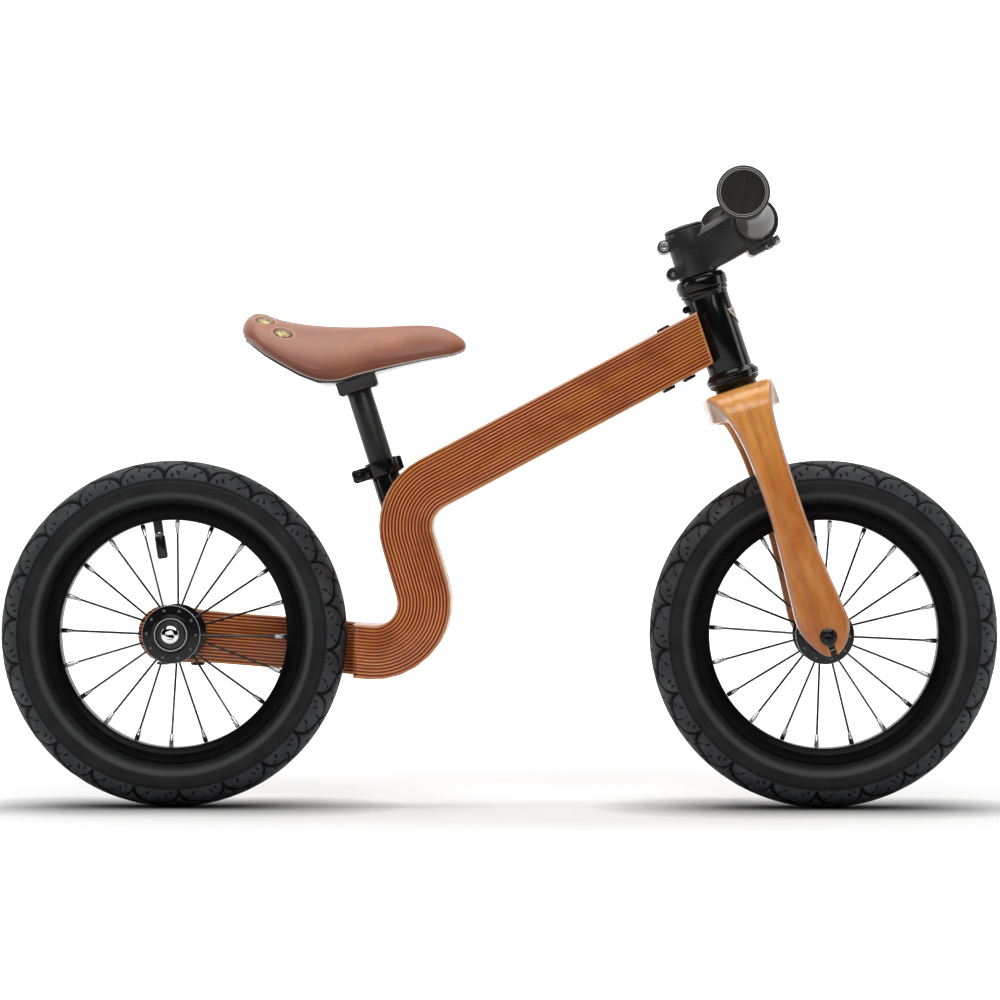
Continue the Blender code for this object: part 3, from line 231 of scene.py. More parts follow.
# ---------------------------------------------------------------- shader helper
class Shader:
    """A node material built by small calls."""

    def __init__(self, name, **sockets):
        self.mat = bpy.data.materials.new(name)
        self.mat.use_nodes = True
        self.tree = self.mat.node_tree
        self.bsdf = self.tree.nodes["Principled BSDF"]
        for key, value in sockets.items():
            self.bsdf.inputs[key.replace("_", " ")].default_value = value
        self.position = self.make("ShaderNodeTexCoord").outputs["Object"]

    def make(self, kind, **settings):
        node = self.tree.nodes.new(kind)
        for key, value in settings.items():
            setattr(node, key, value)
        return node

    def feed(self, socket, value):
        if isinstance(value, bpy.types.NodeSocket):
            self.tree.links.new(value, socket)
        elif isinstance(value, (tuple, list, Vector)) and len(value) == 3 and socket.type == "RGBA":
            socket.default_value = (*value, 1.0)
        else:
            socket.default_value = value

    def math(self, operation, *values, clamp=False):
        node = self.make("ShaderNodeMath", operation=operation, use_clamp=clamp)
        for socket, value in zip(node.inputs, values):
            self.feed(socket, value)
        return node.outputs[0]

    def vector(self, operation, *values):
        node = self.make("ShaderNodeVectorMath", operation=operation)
        for socket, value in zip(node.inputs, values):
            self.feed(socket, value)
        return node.outputs["Value" if operation in ("DOT_PRODUCT", "LENGTH") else "Vector"]

    def split(self, vector):
        node = self.make("ShaderNodeSeparateXYZ")
        self.feed(node.inputs[0], vector)
        return node.outputs

    def join(self, x, y, z):
        node = self.make("ShaderNodeCombineXYZ")
        for socket, value in zip(node.inputs, (x, y, z)):
            self.feed(socket, value)
        return node.outputs[0]

    def stretched(self, *axes):
        """A vector of three values, each of which may be a (value, scale) pair."""
        return self.join(*(self.math("MULTIPLY", *axis) if isinstance(axis, tuple) else axis
            for axis in axes))

    def noise(self, vector, scale, detail=3.0, roughness=0.5, distortion=0.0):
        node = self.make("ShaderNodeTexNoise")
        self.feed(node.inputs["Vector"], vector)
        for key, value in (("Scale", scale), ("Detail", detail), ("Roughness", roughness),
                ("Distortion", distortion)):
            node.inputs[key].default_value = value
        return node.outputs["Fac"]

    def voronoi(self, vector, scale, feature="DISTANCE_TO_EDGE"):
        node = self.make("ShaderNodeTexVoronoi", feature=feature)
        self.feed(node.inputs["Vector"], vector)
        node.inputs["Scale"].default_value = scale
        return node.outputs["Distance"]

    def random(self, value):
        node = self.make("ShaderNodeTexWhiteNoise", noise_dimensions="1D")
        self.feed(node.inputs["W"], value)
        return node.outputs["Value"]

    def attribute(self, name):
        return self.make("ShaderNodeAttribute", attribute_name=name).outputs["Fac"]

    def ramp(self, fac, stops, interpolation="LINEAR"):
        node = self.make("ShaderNodeValToRGB")
        node.color_ramp.interpolation = interpolation
        elements = node.color_ramp.elements
        while len(elements) < len(stops):
            elements.new(0.5)
        for element, (place, colour) in zip(elements, stops):
            element.position = place
            element.color = (*colour, 1.0) if len(colour) == 3 else colour
        self.feed(node.inputs[0], fac)
        return node.outputs["Color"]

    def remap(self, value, low, high, to_low=0.0, to_high=1.0):
        node = self.make("ShaderNodeMapRange", clamp=True)
        for socket, number in zip(node.inputs, (value, low, high, to_low, to_high)):
            self.feed(socket, number)
        return node.outputs[0]

    def mix(self, fac, a, b, blend="MIX"):
        node = self.make("ShaderNodeMix", data_type="RGBA", blend_type=blend)
        self.feed(node.inputs[0], fac)
        self.feed(node.inputs[6], a)
        self.feed(node.inputs[7], b)
        return node.outputs[2]

    def choose(self, fac, a, b):
        """The number a where fac is 0 and b where it is 1."""
        node = self.make("ShaderNodeMix", data_type="FLOAT")
        for socket, value in zip(node.inputs[:1] + node.inputs[2:4], (fac, a, b)):
            self.feed(socket, value)
        return node.outputs[0]

    def colour(self, value):
        self.feed(self.bsdf.inputs["Base Color"], value)

    def roughness(self, value):
        self.feed(self.bsdf.inputs["Roughness"], value)

    def bump(self, height, distance, strength=1.0):
        node = self.make("ShaderNodeBump")
        node.inputs["Strength"].default_value = strength
        node.inputs["Distance"].default_value = distance
        self.feed(node.inputs["Height"], height)
        existing = self.bsdf.inputs["Normal"].links
        if existing:
            self.feed(node.inputs["Normal"], existing[0].from_socket)
        self.feed(self.bsdf.inputs["Normal"], node.outputs[0])


# ---------------------------------------------------------------- materials
def arc_coordinates(shader):
    """The distance from the beam's centreline and the place along it, over both straights and both bends."""
    x, _y, z = shader.split(shader.position)
    flat = shader.join(x, 0.0, z)
    upper, lower = Vector((-0.03584, 0.0, 0.23645)), Vector((-0.10290, 0.0, 0.17236))
    upper_radius, lower_radius = 0.0410, 0.0415
    leg, rise = math.radians(16.5), math.radians(4.4)
    forward = Vector((math.cos(BEAM_ANGLE), 0, math.sin(BEAM_ANGLE)))
    above = Vector((-math.sin(BEAM_ANGLE), 0, math.cos(BEAM_ANGLE)))
    down = Vector((math.sin(leg), 0, -math.cos(leg)))
    behind = Vector((-math.cos(leg), 0, -math.sin(leg)))
    back = Vector((-math.cos(rise), 0, math.sin(rise)))
    top = Vector((math.sin(rise), 0, math.cos(rise)))
    from_upper = shader.vector("SUBTRACT", flat, upper)
    from_lower = shader.vector("SUBTRACT", flat, lower)

    def along(vector, direction):
        return shader.vector("DOT_PRODUCT", vector, direction)

    beam_s = along(from_upper, forward)
    beam_d = shader.math("SUBTRACT", along(from_upper, above), upper_radius)
    bend_d = shader.math("SUBTRACT", shader.vector("LENGTH", from_upper), upper_radius)
    bend_turn = shader.math("ARCTAN2", shader.math("MULTIPLY", beam_s, -1.0), along(from_upper, above))
    bend_s = shader.math("MULTIPLY", bend_turn, -upper_radius)
    upper_arc = -upper_radius * math.acos(max(-1.0, min(1.0, -forward.dot(down))))
    leg_drop = along(from_upper, down)
    leg_s = shader.math("SUBTRACT", upper_arc, leg_drop)
    leg_d = shader.math("SUBTRACT", along(from_upper, behind), upper_radius)
    leg_length = (lower - upper).dot(down)
    below = along(from_lower, down)
    turn = shader.math("ARCTAN2", below, shader.math("MULTIPLY", along(from_lower, behind), -1.0))
    low_d = shader.math("SUBTRACT", lower_radius, shader.vector("LENGTH", from_lower))
    low_s = shader.math("MULTIPLY_ADD", turn, -lower_radius, upper_arc - leg_length)
    stay_back = along(from_lower, back)
    stay_d = shader.math("ADD", along(from_lower, top), lower_radius)
    stay_s = shader.math("SUBTRACT", upper_arc - leg_length - lower_radius * math.acos(down.dot(back)),
        stay_back)
    in_bend = shader.math("LESS_THAN", beam_s, 0.0)
    in_leg = shader.math("GREATER_THAN", leg_drop, 0.0)
    in_low = shader.math("GREATER_THAN", below, 0.0)
    in_stay = shader.math("MULTIPLY", shader.math("GREATER_THAN", stay_back, 0.0),
        shader.math("LESS_THAN", z, lower.z))
    d, s = beam_d, beam_s
    for fac, other_d, other_s in ((in_bend, bend_d, bend_s), (in_leg, leg_d, leg_s),
            (in_low, low_d, low_s), (in_stay, stay_d, stay_s)):
        d = shader.choose(fac, d, other_d)
        s = shader.choose(fac, s, other_s)
    return d, s


def plywood():
    """Lacquered beech plies glued in a stack, dark at every glue line, with tan face veneers and edges."""
    m = Shader("lacquered_plywood", Roughness=0.38, Specular_IOR_Level=0.3, Coat_Weight=0.25,
        Coat_Roughness=0.12)
    d, s = arc_coordinates(m)
    wander = m.noise(m.stretched((s, 1.0), (d, 0.4), 0.0), 28.0, 2.0)
    shifted = m.math("MULTIPLY_ADD", m.math("SUBTRACT", wander, 0.5), 0.0006, d)
    stack = m.math("MULTIPLY_ADD", shifted, PLIES / (2 * BEAM_HALF), PLIES / 2)
    ply = m.math("FLOOR", stack)
    part = m.math("FRACT", stack)
    tint = m.random(ply)
    grain = m.noise(m.stretched((s, 30.0), (stack, 1.6), m.split(m.position)[1]), 1.0, 5.0, 0.62)
    patch = m.noise(m.stretched((s, 13.0), (d, 48.0), tint), 1.0, 3.0, 0.55)
    fine = m.noise(m.stretched((s, 420.0), (d, 1600.0), 0.0), 1.0, 3.0, 0.7)
    red = m.ramp(part, [(0.0, (0.080, 0.004, 0.001)), (0.32, (0.055, 0.003, 0.001)),
        (0.44, (0.52, 0.130, 0.034)), (0.62, (0.96, 0.400, 0.160)), (0.78, (0.74, 0.220, 0.055)),
        (0.90, (0.34, 0.050, 0.008)), (1.0, (0.080, 0.004, 0.001))])
    gold = m.ramp(part, [(0.0, (0.170, 0.026, 0.004)), (0.28, (0.130, 0.015, 0.002)),
        (0.40, (0.56, 0.190, 0.036)), (0.62, (0.80, 0.350, 0.080)), (0.80, (0.62, 0.230, 0.040)),
        (0.92, (0.38, 0.095, 0.014)), (1.0, (0.170, 0.026, 0.004))])
    plies = m.mix(m.remap(patch, 0.46, 0.64), red, gold)
    plies = m.mix(m.remap(grain, 0.35, 0.75, 0.0, 0.45), plies, (0.20, 0.032, 0.006))
    plies = m.mix(m.remap(tint, 0.0, 1.0, 0.0, 0.30), plies, (0.62, 0.30, 0.10), "SOFT_LIGHT")
    cloud = m.noise(m.stretched((s, 22.0), (d, 34.0), 3.0), 1.0, 3.0, 0.6)
    plies = m.mix(m.remap(cloud, 0.50, 0.70, 0.0, 0.50), plies, (0.16, 0.022, 0.005))
    plies = m.mix(m.remap(fine, 0.3, 0.8, 0.0, 0.35), plies, (0.10, 0.022, 0.006))
    veneer_grain = m.noise(m.stretched((s, 18.0), (m.split(m.position)[1], 420.0), (d, 200.0)), 1.0, 4.0, 0.6)
    veneer = m.ramp(veneer_grain, [(0.25, (0.30, 0.100, 0.026)), (0.5, (0.50, 0.210, 0.070)),
        (0.75, (0.60, 0.290, 0.115))])
    head = m.vector("DOT_PRODUCT", m.vector("SUBTRACT", m.position, HEAD_POINT), HEAD_FORWARD)
    skin = m.math("MAXIMUM", m.remap(m.math("ABSOLUTE", d), BEAM_HALF - 0.0015, BEAM_HALF - 0.0010),
        m.math("MULTIPLY", m.remap(head, -0.0150, -0.0146), 0.85))
    m.colour(m.mix(skin, plies, veneer))
    m.roughness(m.remap(grain, 0.3, 0.7, 0.32, 0.46))
    m.bump(m.math("MULTIPLY_ADD", fine, 0.25, part), 0.00006, 0.5)
    return m.mat


def fork_wood():
    """Bent laminated wood under a thick gloss lacquer, honey at the crown and redder towards the dropouts."""
    m = Shader("lacquered_fork_wood", Roughness=0.34, Specular_IOR_Level=0.35, Coat_Weight=0.45,
        Coat_Roughness=0.14)
    local = m.vector("SUBTRACT", m.position, HEAD_POINT)
    h = m.vector("DOT_PRODUCT", local, HEAD_UP)
    f = m.vector("DOT_PRODUCT", local, HEAD_FORWARD)
    y = m.split(m.position)[1]
    base = m.ramp(m.remap(h, -0.33, -0.09), [(0.0, (0.42, 0.125, 0.022)), (0.30, (0.50, 0.160, 0.034)),
        (0.55, (0.48, 0.145, 0.026)), (0.80, (0.68, 0.270, 0.055)), (1.0, (0.86, 0.390, 0.095))])
    streak = m.noise(m.stretched((f, 160.0), (y, 160.0), (h, 11.0)), 1.0, 5.0, 0.6, 0.3)
    cloud = m.noise(m.stretched((f, 60.0), (y, 60.0), (h, 22.0)), 1.0, 2.0, 0.5)
    pore = m.noise(m.stretched((f, 1500.0), (y, 1500.0), (h, 150.0)), 1.0, 2.0, 0.6)
    wood = m.mix(m.remap(streak, 0.42, 0.70, 0.0, 0.55), base, (0.30, 0.072, 0.012))
    wood = m.mix(m.remap(cloud, 0.48, 0.72, 0.0, 0.40), wood, (0.80, 0.40, 0.120))
    wood = m.mix(m.remap(pore, 0.56, 0.72, 0.0, 0.30), wood, (0.16, 0.040, 0.008))
    # painted reflection: faces looking fore and aft are mixed towards pale rose, most at the crown, for the
    # lacquer's glossy reflection on the rounded edges
    facing = m.vector("DOT_PRODUCT", m.make("ShaderNodeTexCoord").outputs["Normal"], HEAD_FORWARD)
    wall = m.remap(m.math("ABSOLUTE", facing), 0.35, 0.80)
    crown = m.remap(h, -0.200, -0.125, 0.45, 0.85)
    m.colour(m.mix(m.math("MULTIPLY", wall, crown), wood, (0.38, 0.255, 0.215)))
    m.roughness(m.remap(streak, 0.3, 0.7, 0.22, 0.36))
    m.bump(streak, 0.00005, 0.3)
    return m.mat


def gloss_black(name, shade=0.003, rough=0.16, coat=0.22, metallic=0.0, gloss=0.22):
    """Gloss paint or anodising with the faintest orange peel and a few fine wipe marks."""
    m = Shader(name, Roughness=rough, Metallic=metallic, Specular_IOR_Level=gloss, Coat_Weight=coat,
        Coat_Roughness=0.06)
    peel = m.noise(m.position, 420.0, 2.0)
    marks = m.noise(m.vector("MULTIPLY", m.position, Vector((60.0, 60.0, 900.0))), 1.0, 3.0, 0.6)
    m.colour(m.ramp(marks, [(0.3, (shade, shade, shade * 1.05)),
        (0.8, (shade * 2.2, shade * 2.2, shade * 2.4))]))
    m.roughness(m.remap(marks, 0.45, 0.75, rough, rough + 0.10))
    m.bump(peel, 0.00002, 0.35)
    return m.mat


def satin_black(name, shade=0.015, rough=0.32):
    """Fine bead-blasted anodising."""
    m = Shader(name, Roughness=rough, Metallic=0.25, Specular_IOR_Level=0.45)
    blast = m.noise(m.position, 3200.0, 2.0, 0.6)
    cloud = m.noise(m.position, 45.0, 3.0)
    base = m.ramp(cloud, [(0.35, (shade,) * 3), (0.70, (shade * 1.35,) * 3)])
    m.colour(m.mix(m.remap(blast, 0.35, 0.70, 0.0, 0.5), base, (shade * 2.0,) * 3))
    m.roughness(m.remap(cloud, 0.35, 0.7, rough - 0.05, rough + 0.06))
    m.bump(blast, 0.00004, 0.5)
    return m.mat


def tyre_rubber():
    """Moulded rubber: matt tread blocks, groove floors painted dark as shade, and a smoother sidewall with a
    painted highlight band.
    """
    m = Shader("tyre_rubber", Roughness=0.6)
    # painted shade: the groove attribute darkens the tread grooves and the shoulder dip
    groove = m.attribute("groove")
    side = m.attribute("sidewall")
    dust = m.noise(m.position, 38.0, 4.0, 0.6)
    grit = m.noise(m.position, 1900.0, 2.0, 0.6)
    rubber = m.ramp(dust, [(0.32, (0.017, 0.0178, 0.0195)), (0.55, (0.030, 0.0315, 0.0345)),
        (0.72, (0.056, 0.0585, 0.0635))])
    wall = m.ramp(dust, [(0.30, (0.0115, 0.0118, 0.0124)), (0.70, (0.0205, 0.0210, 0.0220))])
    x, y, _z = m.split(m.position)
    radius = m.vector("LENGTH", m.join(x, y, 0.0))
    # painted highlight: a pale band round the sidewall near the rim, where light catches its bulge
    sidewall_highlight_band = m.remap(m.math("ABSOLUTE", m.math("SUBTRACT", radius, 0.1163)), 0.0008, 0.0036, 0.8, 0.0)
    wall = m.mix(sidewall_highlight_band, wall, (0.0620, 0.0630, 0.0650))
    body = m.mix(side, rubber, wall)
    grain = m.math("MULTIPLY", m.remap(grit, 0.35, 0.75, 0.0, 0.30), m.math("SUBTRACT", 1.0, side))
    body = m.mix(grain, body, (0.052, 0.054, 0.058))
    # the groove floors and shoulder are painted near black as shade
    m.colour(m.mix(groove, body, (0.0022, 0.0022, 0.0024)))
    dull = m.math("MAXIMUM", side, groove)
    m.feed(m.bsdf.inputs["Specular IOR Level"], m.remap(dull, 0.0, 1.0, 0.30, 0.12))
    m.roughness(m.choose(side, m.remap(grit, 0.3, 0.7, 0.50, 0.64), m.remap(dust, 0.3, 0.7, 0.38, 0.50)))
    m.bump(grit, 0.00005, 0.45)
    return m.mat


def soft_rubber(name, shade, rough=0.62):
    m = Shader(name, Roughness=rough, Specular_IOR_Level=0.35, Sheen_Weight=0.15)
    grit = m.noise(m.position, 1600.0, 3.0, 0.65)
    cloud = m.noise(m.position, 60.0, 3.0)
    base = m.ramp(cloud, [(0.3, tuple(c * 0.8 for c in shade)), (0.7, shade)])
    m.colour(m.mix(m.remap(grit, 0.35, 0.7, 0.0, 0.4), base, tuple(c * 1.8 for c in shade)))
    m.roughness(m.remap(cloud, 0.3, 0.7, rough - 0.06, rough + 0.06))
    m.bump(grit, 0.00006, 0.5)
    return m.mat


def grip_rubber():
    """Soft rubber with two moulded rings near the rim of its end face, coloured pale on their raised tops."""
    m = Shader("grip_rubber", Roughness=0.55, Specular_IOR_Level=0.22)
    grit = m.noise(m.position, 1500.0, 3.0, 0.65)
    scuff = m.noise(m.vector("MULTIPLY", m.position, Vector((240.0, 55.0, 55.0))), 1.0, 4.0, 0.6)
    base = m.ramp(scuff, [(0.30, (0.0060, 0.0048, 0.0045)), (0.72, (0.0165, 0.0138, 0.0130))])
    sleeve = m.mix(m.remap(grit, 0.4, 0.7, 0.0, 0.4), base, (0.030, 0.027, 0.025))
    m.colour(m.mix(m.math("MULTIPLY", m.attribute("ring"), 0.8), sleeve, (0.36, 0.34, 0.32)))
    m.bump(grit, 0.00006, 0.5)
    return m.mat


def leather():
    """Waxed brown leather: fine pebbled grain, cloudy tan, darker and redder down the sides."""
    m = Shader("saddle_leather", Roughness=0.42, Specular_IOR_Level=0.45, Coat_Weight=0.10,
        Coat_Roughness=0.30)
    pebble = m.voronoi(m.position, 900.0)
    crease = m.noise(m.vector("MULTIPLY", m.position, Vector((260.0, 420.0, 420.0))), 1.0, 4.0, 0.6)
    cloud = m.noise(m.position, 32.0, 4.0, 0.55)
    side = m.attribute("side")
    top = m.ramp(cloud, [(0.30, (0.27, 0.090, 0.042)), (0.55, (0.33, 0.110, 0.050)),
        (0.75, (0.40, 0.145, 0.070))])
    low = m.ramp(cloud, [(0.30, (0.165, 0.042, 0.019)), (0.70, (0.240, 0.070, 0.033))])
    hide = m.mix(side, top, low)
    hide = m.mix(m.remap(crease, 0.50, 0.72, 0.0, 0.22), hide, (0.15, 0.040, 0.020))
    # painted shade: the edges of the pebble cells, the crevices of the grain, are coloured darker
    hide = m.mix(m.remap(pebble, 0.0, 0.10, 0.25, 0.0), hide, (0.13, 0.036, 0.018))
    hide = m.mix(m.math("MULTIPLY", m.attribute("emboss"), 0.35), hide, (0.62, 0.36, 0.25))
    # painted shade: the dish round each rivet is coloured near black
    hide = m.mix(m.math("MULTIPLY", m.attribute("dish"), 0.85), hide, (0.030, 0.012, 0.006))
    m.colour(hide)
    m.roughness(m.remap(cloud, 0.3, 0.7, 0.36, 0.48))
    m.bump(m.noise(m.position, 420.0, 3.0, 0.6), 0.0005, 0.30)
    m.bump(m.remap(pebble, 0.0, 0.25), 0.00008, 0.45)
    m.bump(crease, 0.00010, 0.30)
    return m.mat


def hammered_brass():
    m = Shader("hammered_brass", Roughness=0.34, Metallic=1.0)
    dents = m.voronoi(m.position, 620.0, "SMOOTH_F1")
    tarnish = m.noise(m.position, 380.0, 4.0, 0.6)
    m.colour(m.ramp(tarnish, [(0.28, (0.10, 0.075, 0.034)), (0.50, (0.27, 0.215, 0.105)),
        (0.74, (0.42, 0.350, 0.190))]))
    m.roughness(m.remap(tarnish, 0.3, 0.7, 0.48, 0.26))
    m.bump(dents, 0.0004, 0.6)
    return m.mat


def metal(name, shade, rough, streak=0.10):
    m = Shader(name, Roughness=rough, Metallic=1.0)
    brush = m.noise(m.vector("MULTIPLY", m.position, Vector((500.0, 120.0, 1500.0))), 1.0, 4.0, 0.65)
    m.colour(m.ramp(brush, [(0.25, tuple(c * (1 - streak * 2) for c in shade)), (0.75, shade)]))
    m.roughness(m.remap(brush, 0.3, 0.7, rough, rough + streak))
    m.bump(brush, 0.00002, 0.3)
    return m.mat


def moulded_plastic(name, shade, rough=0.36):
    m = Shader(name, Roughness=rough, Specular_IOR_Level=0.5)
    spark = m.noise(m.position, 1400.0, 2.0, 0.6)
    cloud = m.noise(m.position, 50.0, 3.0)
    m.colour(m.ramp(cloud, [(0.3, tuple(c * 0.85 for c in shade)), (0.7, tuple(c * 1.15 for c in shade))]))
    m.roughness(m.remap(spark, 0.3, 0.7, rough - 0.05, rough + 0.08))
    m.bump(spark, 0.00005, 0.4)
    return m.mat


def hub_black():
    """Gloss anodising, with pale grey painted highlights on its turned edges: the flange's rim and the ring
    round the bearing.
    """
    m = Shader("hub_anodised", Roughness=0.14, Specular_IOR_Level=0.25, Coat_Weight=0.15, Coat_Roughness=0.05)
    x, y, z = m.split(m.position)
    radius = m.vector("LENGTH", m.join(x, y, 0.0))
    height = m.math("ABSOLUTE", z)
    # painted highlight: the ring round the bearing and the flange's rim are coloured pale grey
    end = m.math("GREATER_THAN", height, 0.0285)
    ring = m.math("MULTIPLY", m.math("COMPARE", radius, 0.01345, 0.00045), end)
    edge = m.math("MULTIPLY", m.math("GREATER_THAN", radius, 0.02412),
        m.math("GREATER_THAN", height, 0.0255))
    bright = m.math("MAXIMUM", ring, edge)
    turned = m.noise(m.stretched((radius, 5200.0), 0.0, height), 1.0, 2.0)
    dark = m.ramp(turned, [(0.3, (0.0045, 0.0045, 0.005)), (0.8, (0.012, 0.012, 0.013))])
    m.colour(m.mix(m.math("MULTIPLY", bright, 0.85), dark, (0.42, 0.42, 0.43)))
    m.roughness(m.remap(turned, 0.3, 0.7, 0.12, 0.22))
    m.bump(turned, 0.00001, 0.3)
    return m.mat


def bearing_seal():
    m = Shader("bearing_seal", Roughness=0.4)
    dust = m.noise(m.position, 700.0, 3.0)
    m.colour(m.ramp(dust, [(0.3, (0.010, 0.010, 0.011)), (0.7, (0.022, 0.022, 0.024))]))
    m.bump(dust, 0.00003, 0.4)
    return m.mat


def badge_enamel():
    m = Shader("badge_enamel", Roughness=0.3, Coat_Weight=0.5)
    speck = m.noise(m.position, 900.0, 3.0)
    cream = m.ramp(speck, [(0.3, (0.50, 0.36, 0.24)), (0.7, (0.66, 0.52, 0.38))])
    m.colour(m.mix(m.attribute("border"), (0.012, 0.010, 0.010), cream))
    m.bump(speck, 0.00003, 0.3)
    return m.mat


MATS = {"plywood": plywood(), "fork_wood": fork_wood(), "black_paint": gloss_black("gloss_black_paint"),
    "rim_and_hub_black": gloss_black("gloss_anodised", 0.0014, 0.30, 0.0, 0.0, 0.08),
    "satin_black": satin_black("satin_anodised"), "tyre": tyre_rubber(),
    "tube_rubber": soft_rubber("tube_rubber", (0.014, 0.013, 0.013)), "grip_rubber": grip_rubber(),
    "black_plastic": moulded_plastic("black_plastic", (0.0045, 0.0045, 0.0048), 0.20),
    "saddle_leather": leather(), "brass": hammered_brass(),
    "steel": metal("plated_steel", (0.40, 0.40, 0.41), 0.26),
    "chrome": metal("polished_chrome", (0.86, 0.86, 0.88), 0.05, 0.04)}
HUB = hub_black()
SEAL = bearing_seal()
# painted reflection: the black satin bar is coloured grey for the white room it reflects
BAR_PAINTED_REFLECTION = satin_black("bar_satin_painted_reflection", 0.075, 0.36)
NIPPLE = metal("nickel_nipple", (0.62, 0.62, 0.64), 0.20)
SPOKE_HEAD = metal("dark_spoke_head", (0.16, 0.16, 0.165), 0.30)
SPOKE = gloss_black("black_spoke", 0.008, 0.22, 0.5, 0.3)
# painted reflection: a pale strip for light caught on the saddle base's upper edge under the leather
SADDLE_REFLECTION_STRIP = moulded_plastic("painted_reflection_strip", (0.50, 0.42, 0.38), 0.30)


# ---------------------------------------------------------------- CAD nodes that stay
def smoothing_group():
    """Geometry nodes that shade faces smooth and keep edges over an angle sharp."""
    group = bpy.data.node_groups.new("smooth_by_angle", "GeometryNodeTree")
    group.interface.new_socket("Geometry", in_out="INPUT", socket_type="NodeSocketGeometry")
    group.interface.new_socket("Geometry", in_out="OUTPUT", socket_type="NodeSocketGeometry")
    entry, leave = group.nodes.new("NodeGroupInput"), group.nodes.new("NodeGroupOutput")
    angle = group.nodes.new("GeometryNodeInputMeshEdgeAngle")
    compare = group.nodes.new("FunctionNodeCompare")
    compare.data_type = "FLOAT"
    compare.operation = "LESS_THAN"
    compare.inputs[1].default_value = math.radians(33)
    edges = group.nodes.new("GeometryNodeSetShadeSmooth")
    faces = group.nodes.new("GeometryNodeSetShadeSmooth")
    edges.domain = "EDGE"
    links = group.links
    links.new(angle.outputs[0], compare.inputs[0])
    links.new(entry.outputs[0], faces.inputs[0])
    links.new(faces.outputs[0], edges.inputs[0])
    links.new(compare.outputs[0], edges.inputs["Shade Smooth"])
    links.new(edges.outputs[0], leave.inputs[0])
    return group


SMOOTHING = smoothing_group()


def dress(node, mat, bevel=0.0003):
    """Give a CAD node its finish, small rounded edges and smooth shading."""
    obj = NODES[node]
    obj.data.materials.clear()
    obj.data.materials.append(mat)
    weld = obj.modifiers.new("weld", "WELD")
    weld.merge_threshold = 0.000002
    planar = obj.modifiers.new("planar", "DECIMATE")
    planar.decimate_type = "DISSOLVE"
    planar.angle_limit = math.radians(0.5)
    if bevel > 0:
        edge = obj.modifiers.new("edges", "BEVEL")
        edge.width = bevel
        edge.segments = 2
        edge.limit_method = "ANGLE"
        edge.angle_limit = math.radians(34)
        edge.use_clamp_overlap = True
    smooth = obj.modifiers.new("smooth", "NODES")
    smooth.node_group = SMOOTHING


SLOT_OF = {name: obj.material_slots[0].material.name for name, obj in NODES.items()}
SPECIAL_FINISH = {f"{wheel}_hub_bearing_{side}": SEAL
    for wheel in ("rear", "front") for side in ("left", "right")}
SPECIAL_BEVEL = {"frame_beam": 0.0004, "stem_body": 0.0007, "stem_faceplate": 0.0006, "saddle_base": 0.0008}
for node_name, slot_name in SLOT_OF.items():
    dress(node_name, SPECIAL_FINISH.get(node_name, MATS[slot_name.split(".")[0]]),
        SPECIAL_BEVEL.get(node_name, 0.0003))


# ---------------------------------------------------------------- wheels
TYRE_OUTLINE = catmull([(0.0, 0.1460), (0.0058, 0.1456), (0.0112, 0.1441), (0.0165, 0.1412),
    (0.0204, 0.1372), (0.0226, 0.1325), (0.0234, 0.1280), (0.0234, 0.1232), (0.0216, 0.1172),
    (0.0168, 0.1125), (0.0124, 0.1102), (0.0106, 0.1090), (0.0101, 0.1060), (0.0100, 0.1023)], 16)
TREAD_EDGE = 0.1310
TREAD_RADIUS = 0.1385
GROOVE_DEPTH = 0.0015
SHOULDER_DEPTH = 0.0005


def tyre_samples():
    """Points of the outside half section, close together on the tread, with their distances round it."""
    steps = np.linalg.norm(np.diff(TYRE_OUTLINE, axis=0), axis=1)
    distance = np.concatenate([[0.0], np.cumsum(steps)])
    bead = distance[-1]
    places = np.concatenate([np.arange(0.00035, 0.0325, 0.00062), np.arange(0.0325, bead, 0.00105), [bead]])
    ys = np.interp(places, distance, TYRE_OUTLINE[:, 0])
    rs = np.interp(places, distance, TYRE_OUTLINE[:, 1])
    tread = np.interp(TREAD_EDGE, TYRE_OUTLINE[::-1, 1], distance[::-1])
    return places, ys, rs, tread


def scallop_groove(x, w, reach, lift, width):
    """How deep into a scallop's groove a point is, from its place across (x) and above its tips (w)."""
    half = x / reach
    right = x > 0.10 * reach
    height = np.where(right, lift * 0.87, lift)
    level = w / height
    value = half ** 2 + level ** 2 - 1.0
    slope = 2 * np.sqrt((half / reach) ** 2 + (level / height) ** 2) + 1e-9
    distance = np.abs(value) / slope
    thick = np.where(right, width * 1.9, width * 1.15)
    return np.where(w > -0.0006, 1.0 - smoothstep((distance - thick * 0.45) / (thick * 0.75)), 0.0)


def dash(x, w, at_x, at_w, length, slant, width):
    """A short sipe centred on a point."""
    along = (x - at_x) * math.sin(slant) + (w - at_w) * math.cos(slant)
    across = (x - at_x) * math.cos(slant) - (w - at_w) * math.sin(slant)
    over = np.maximum(np.abs(along) - length / 2, 0.0)
    return 1.0 - smoothstep((np.hypot(across, over) - width * 0.4) / (width * 0.7))


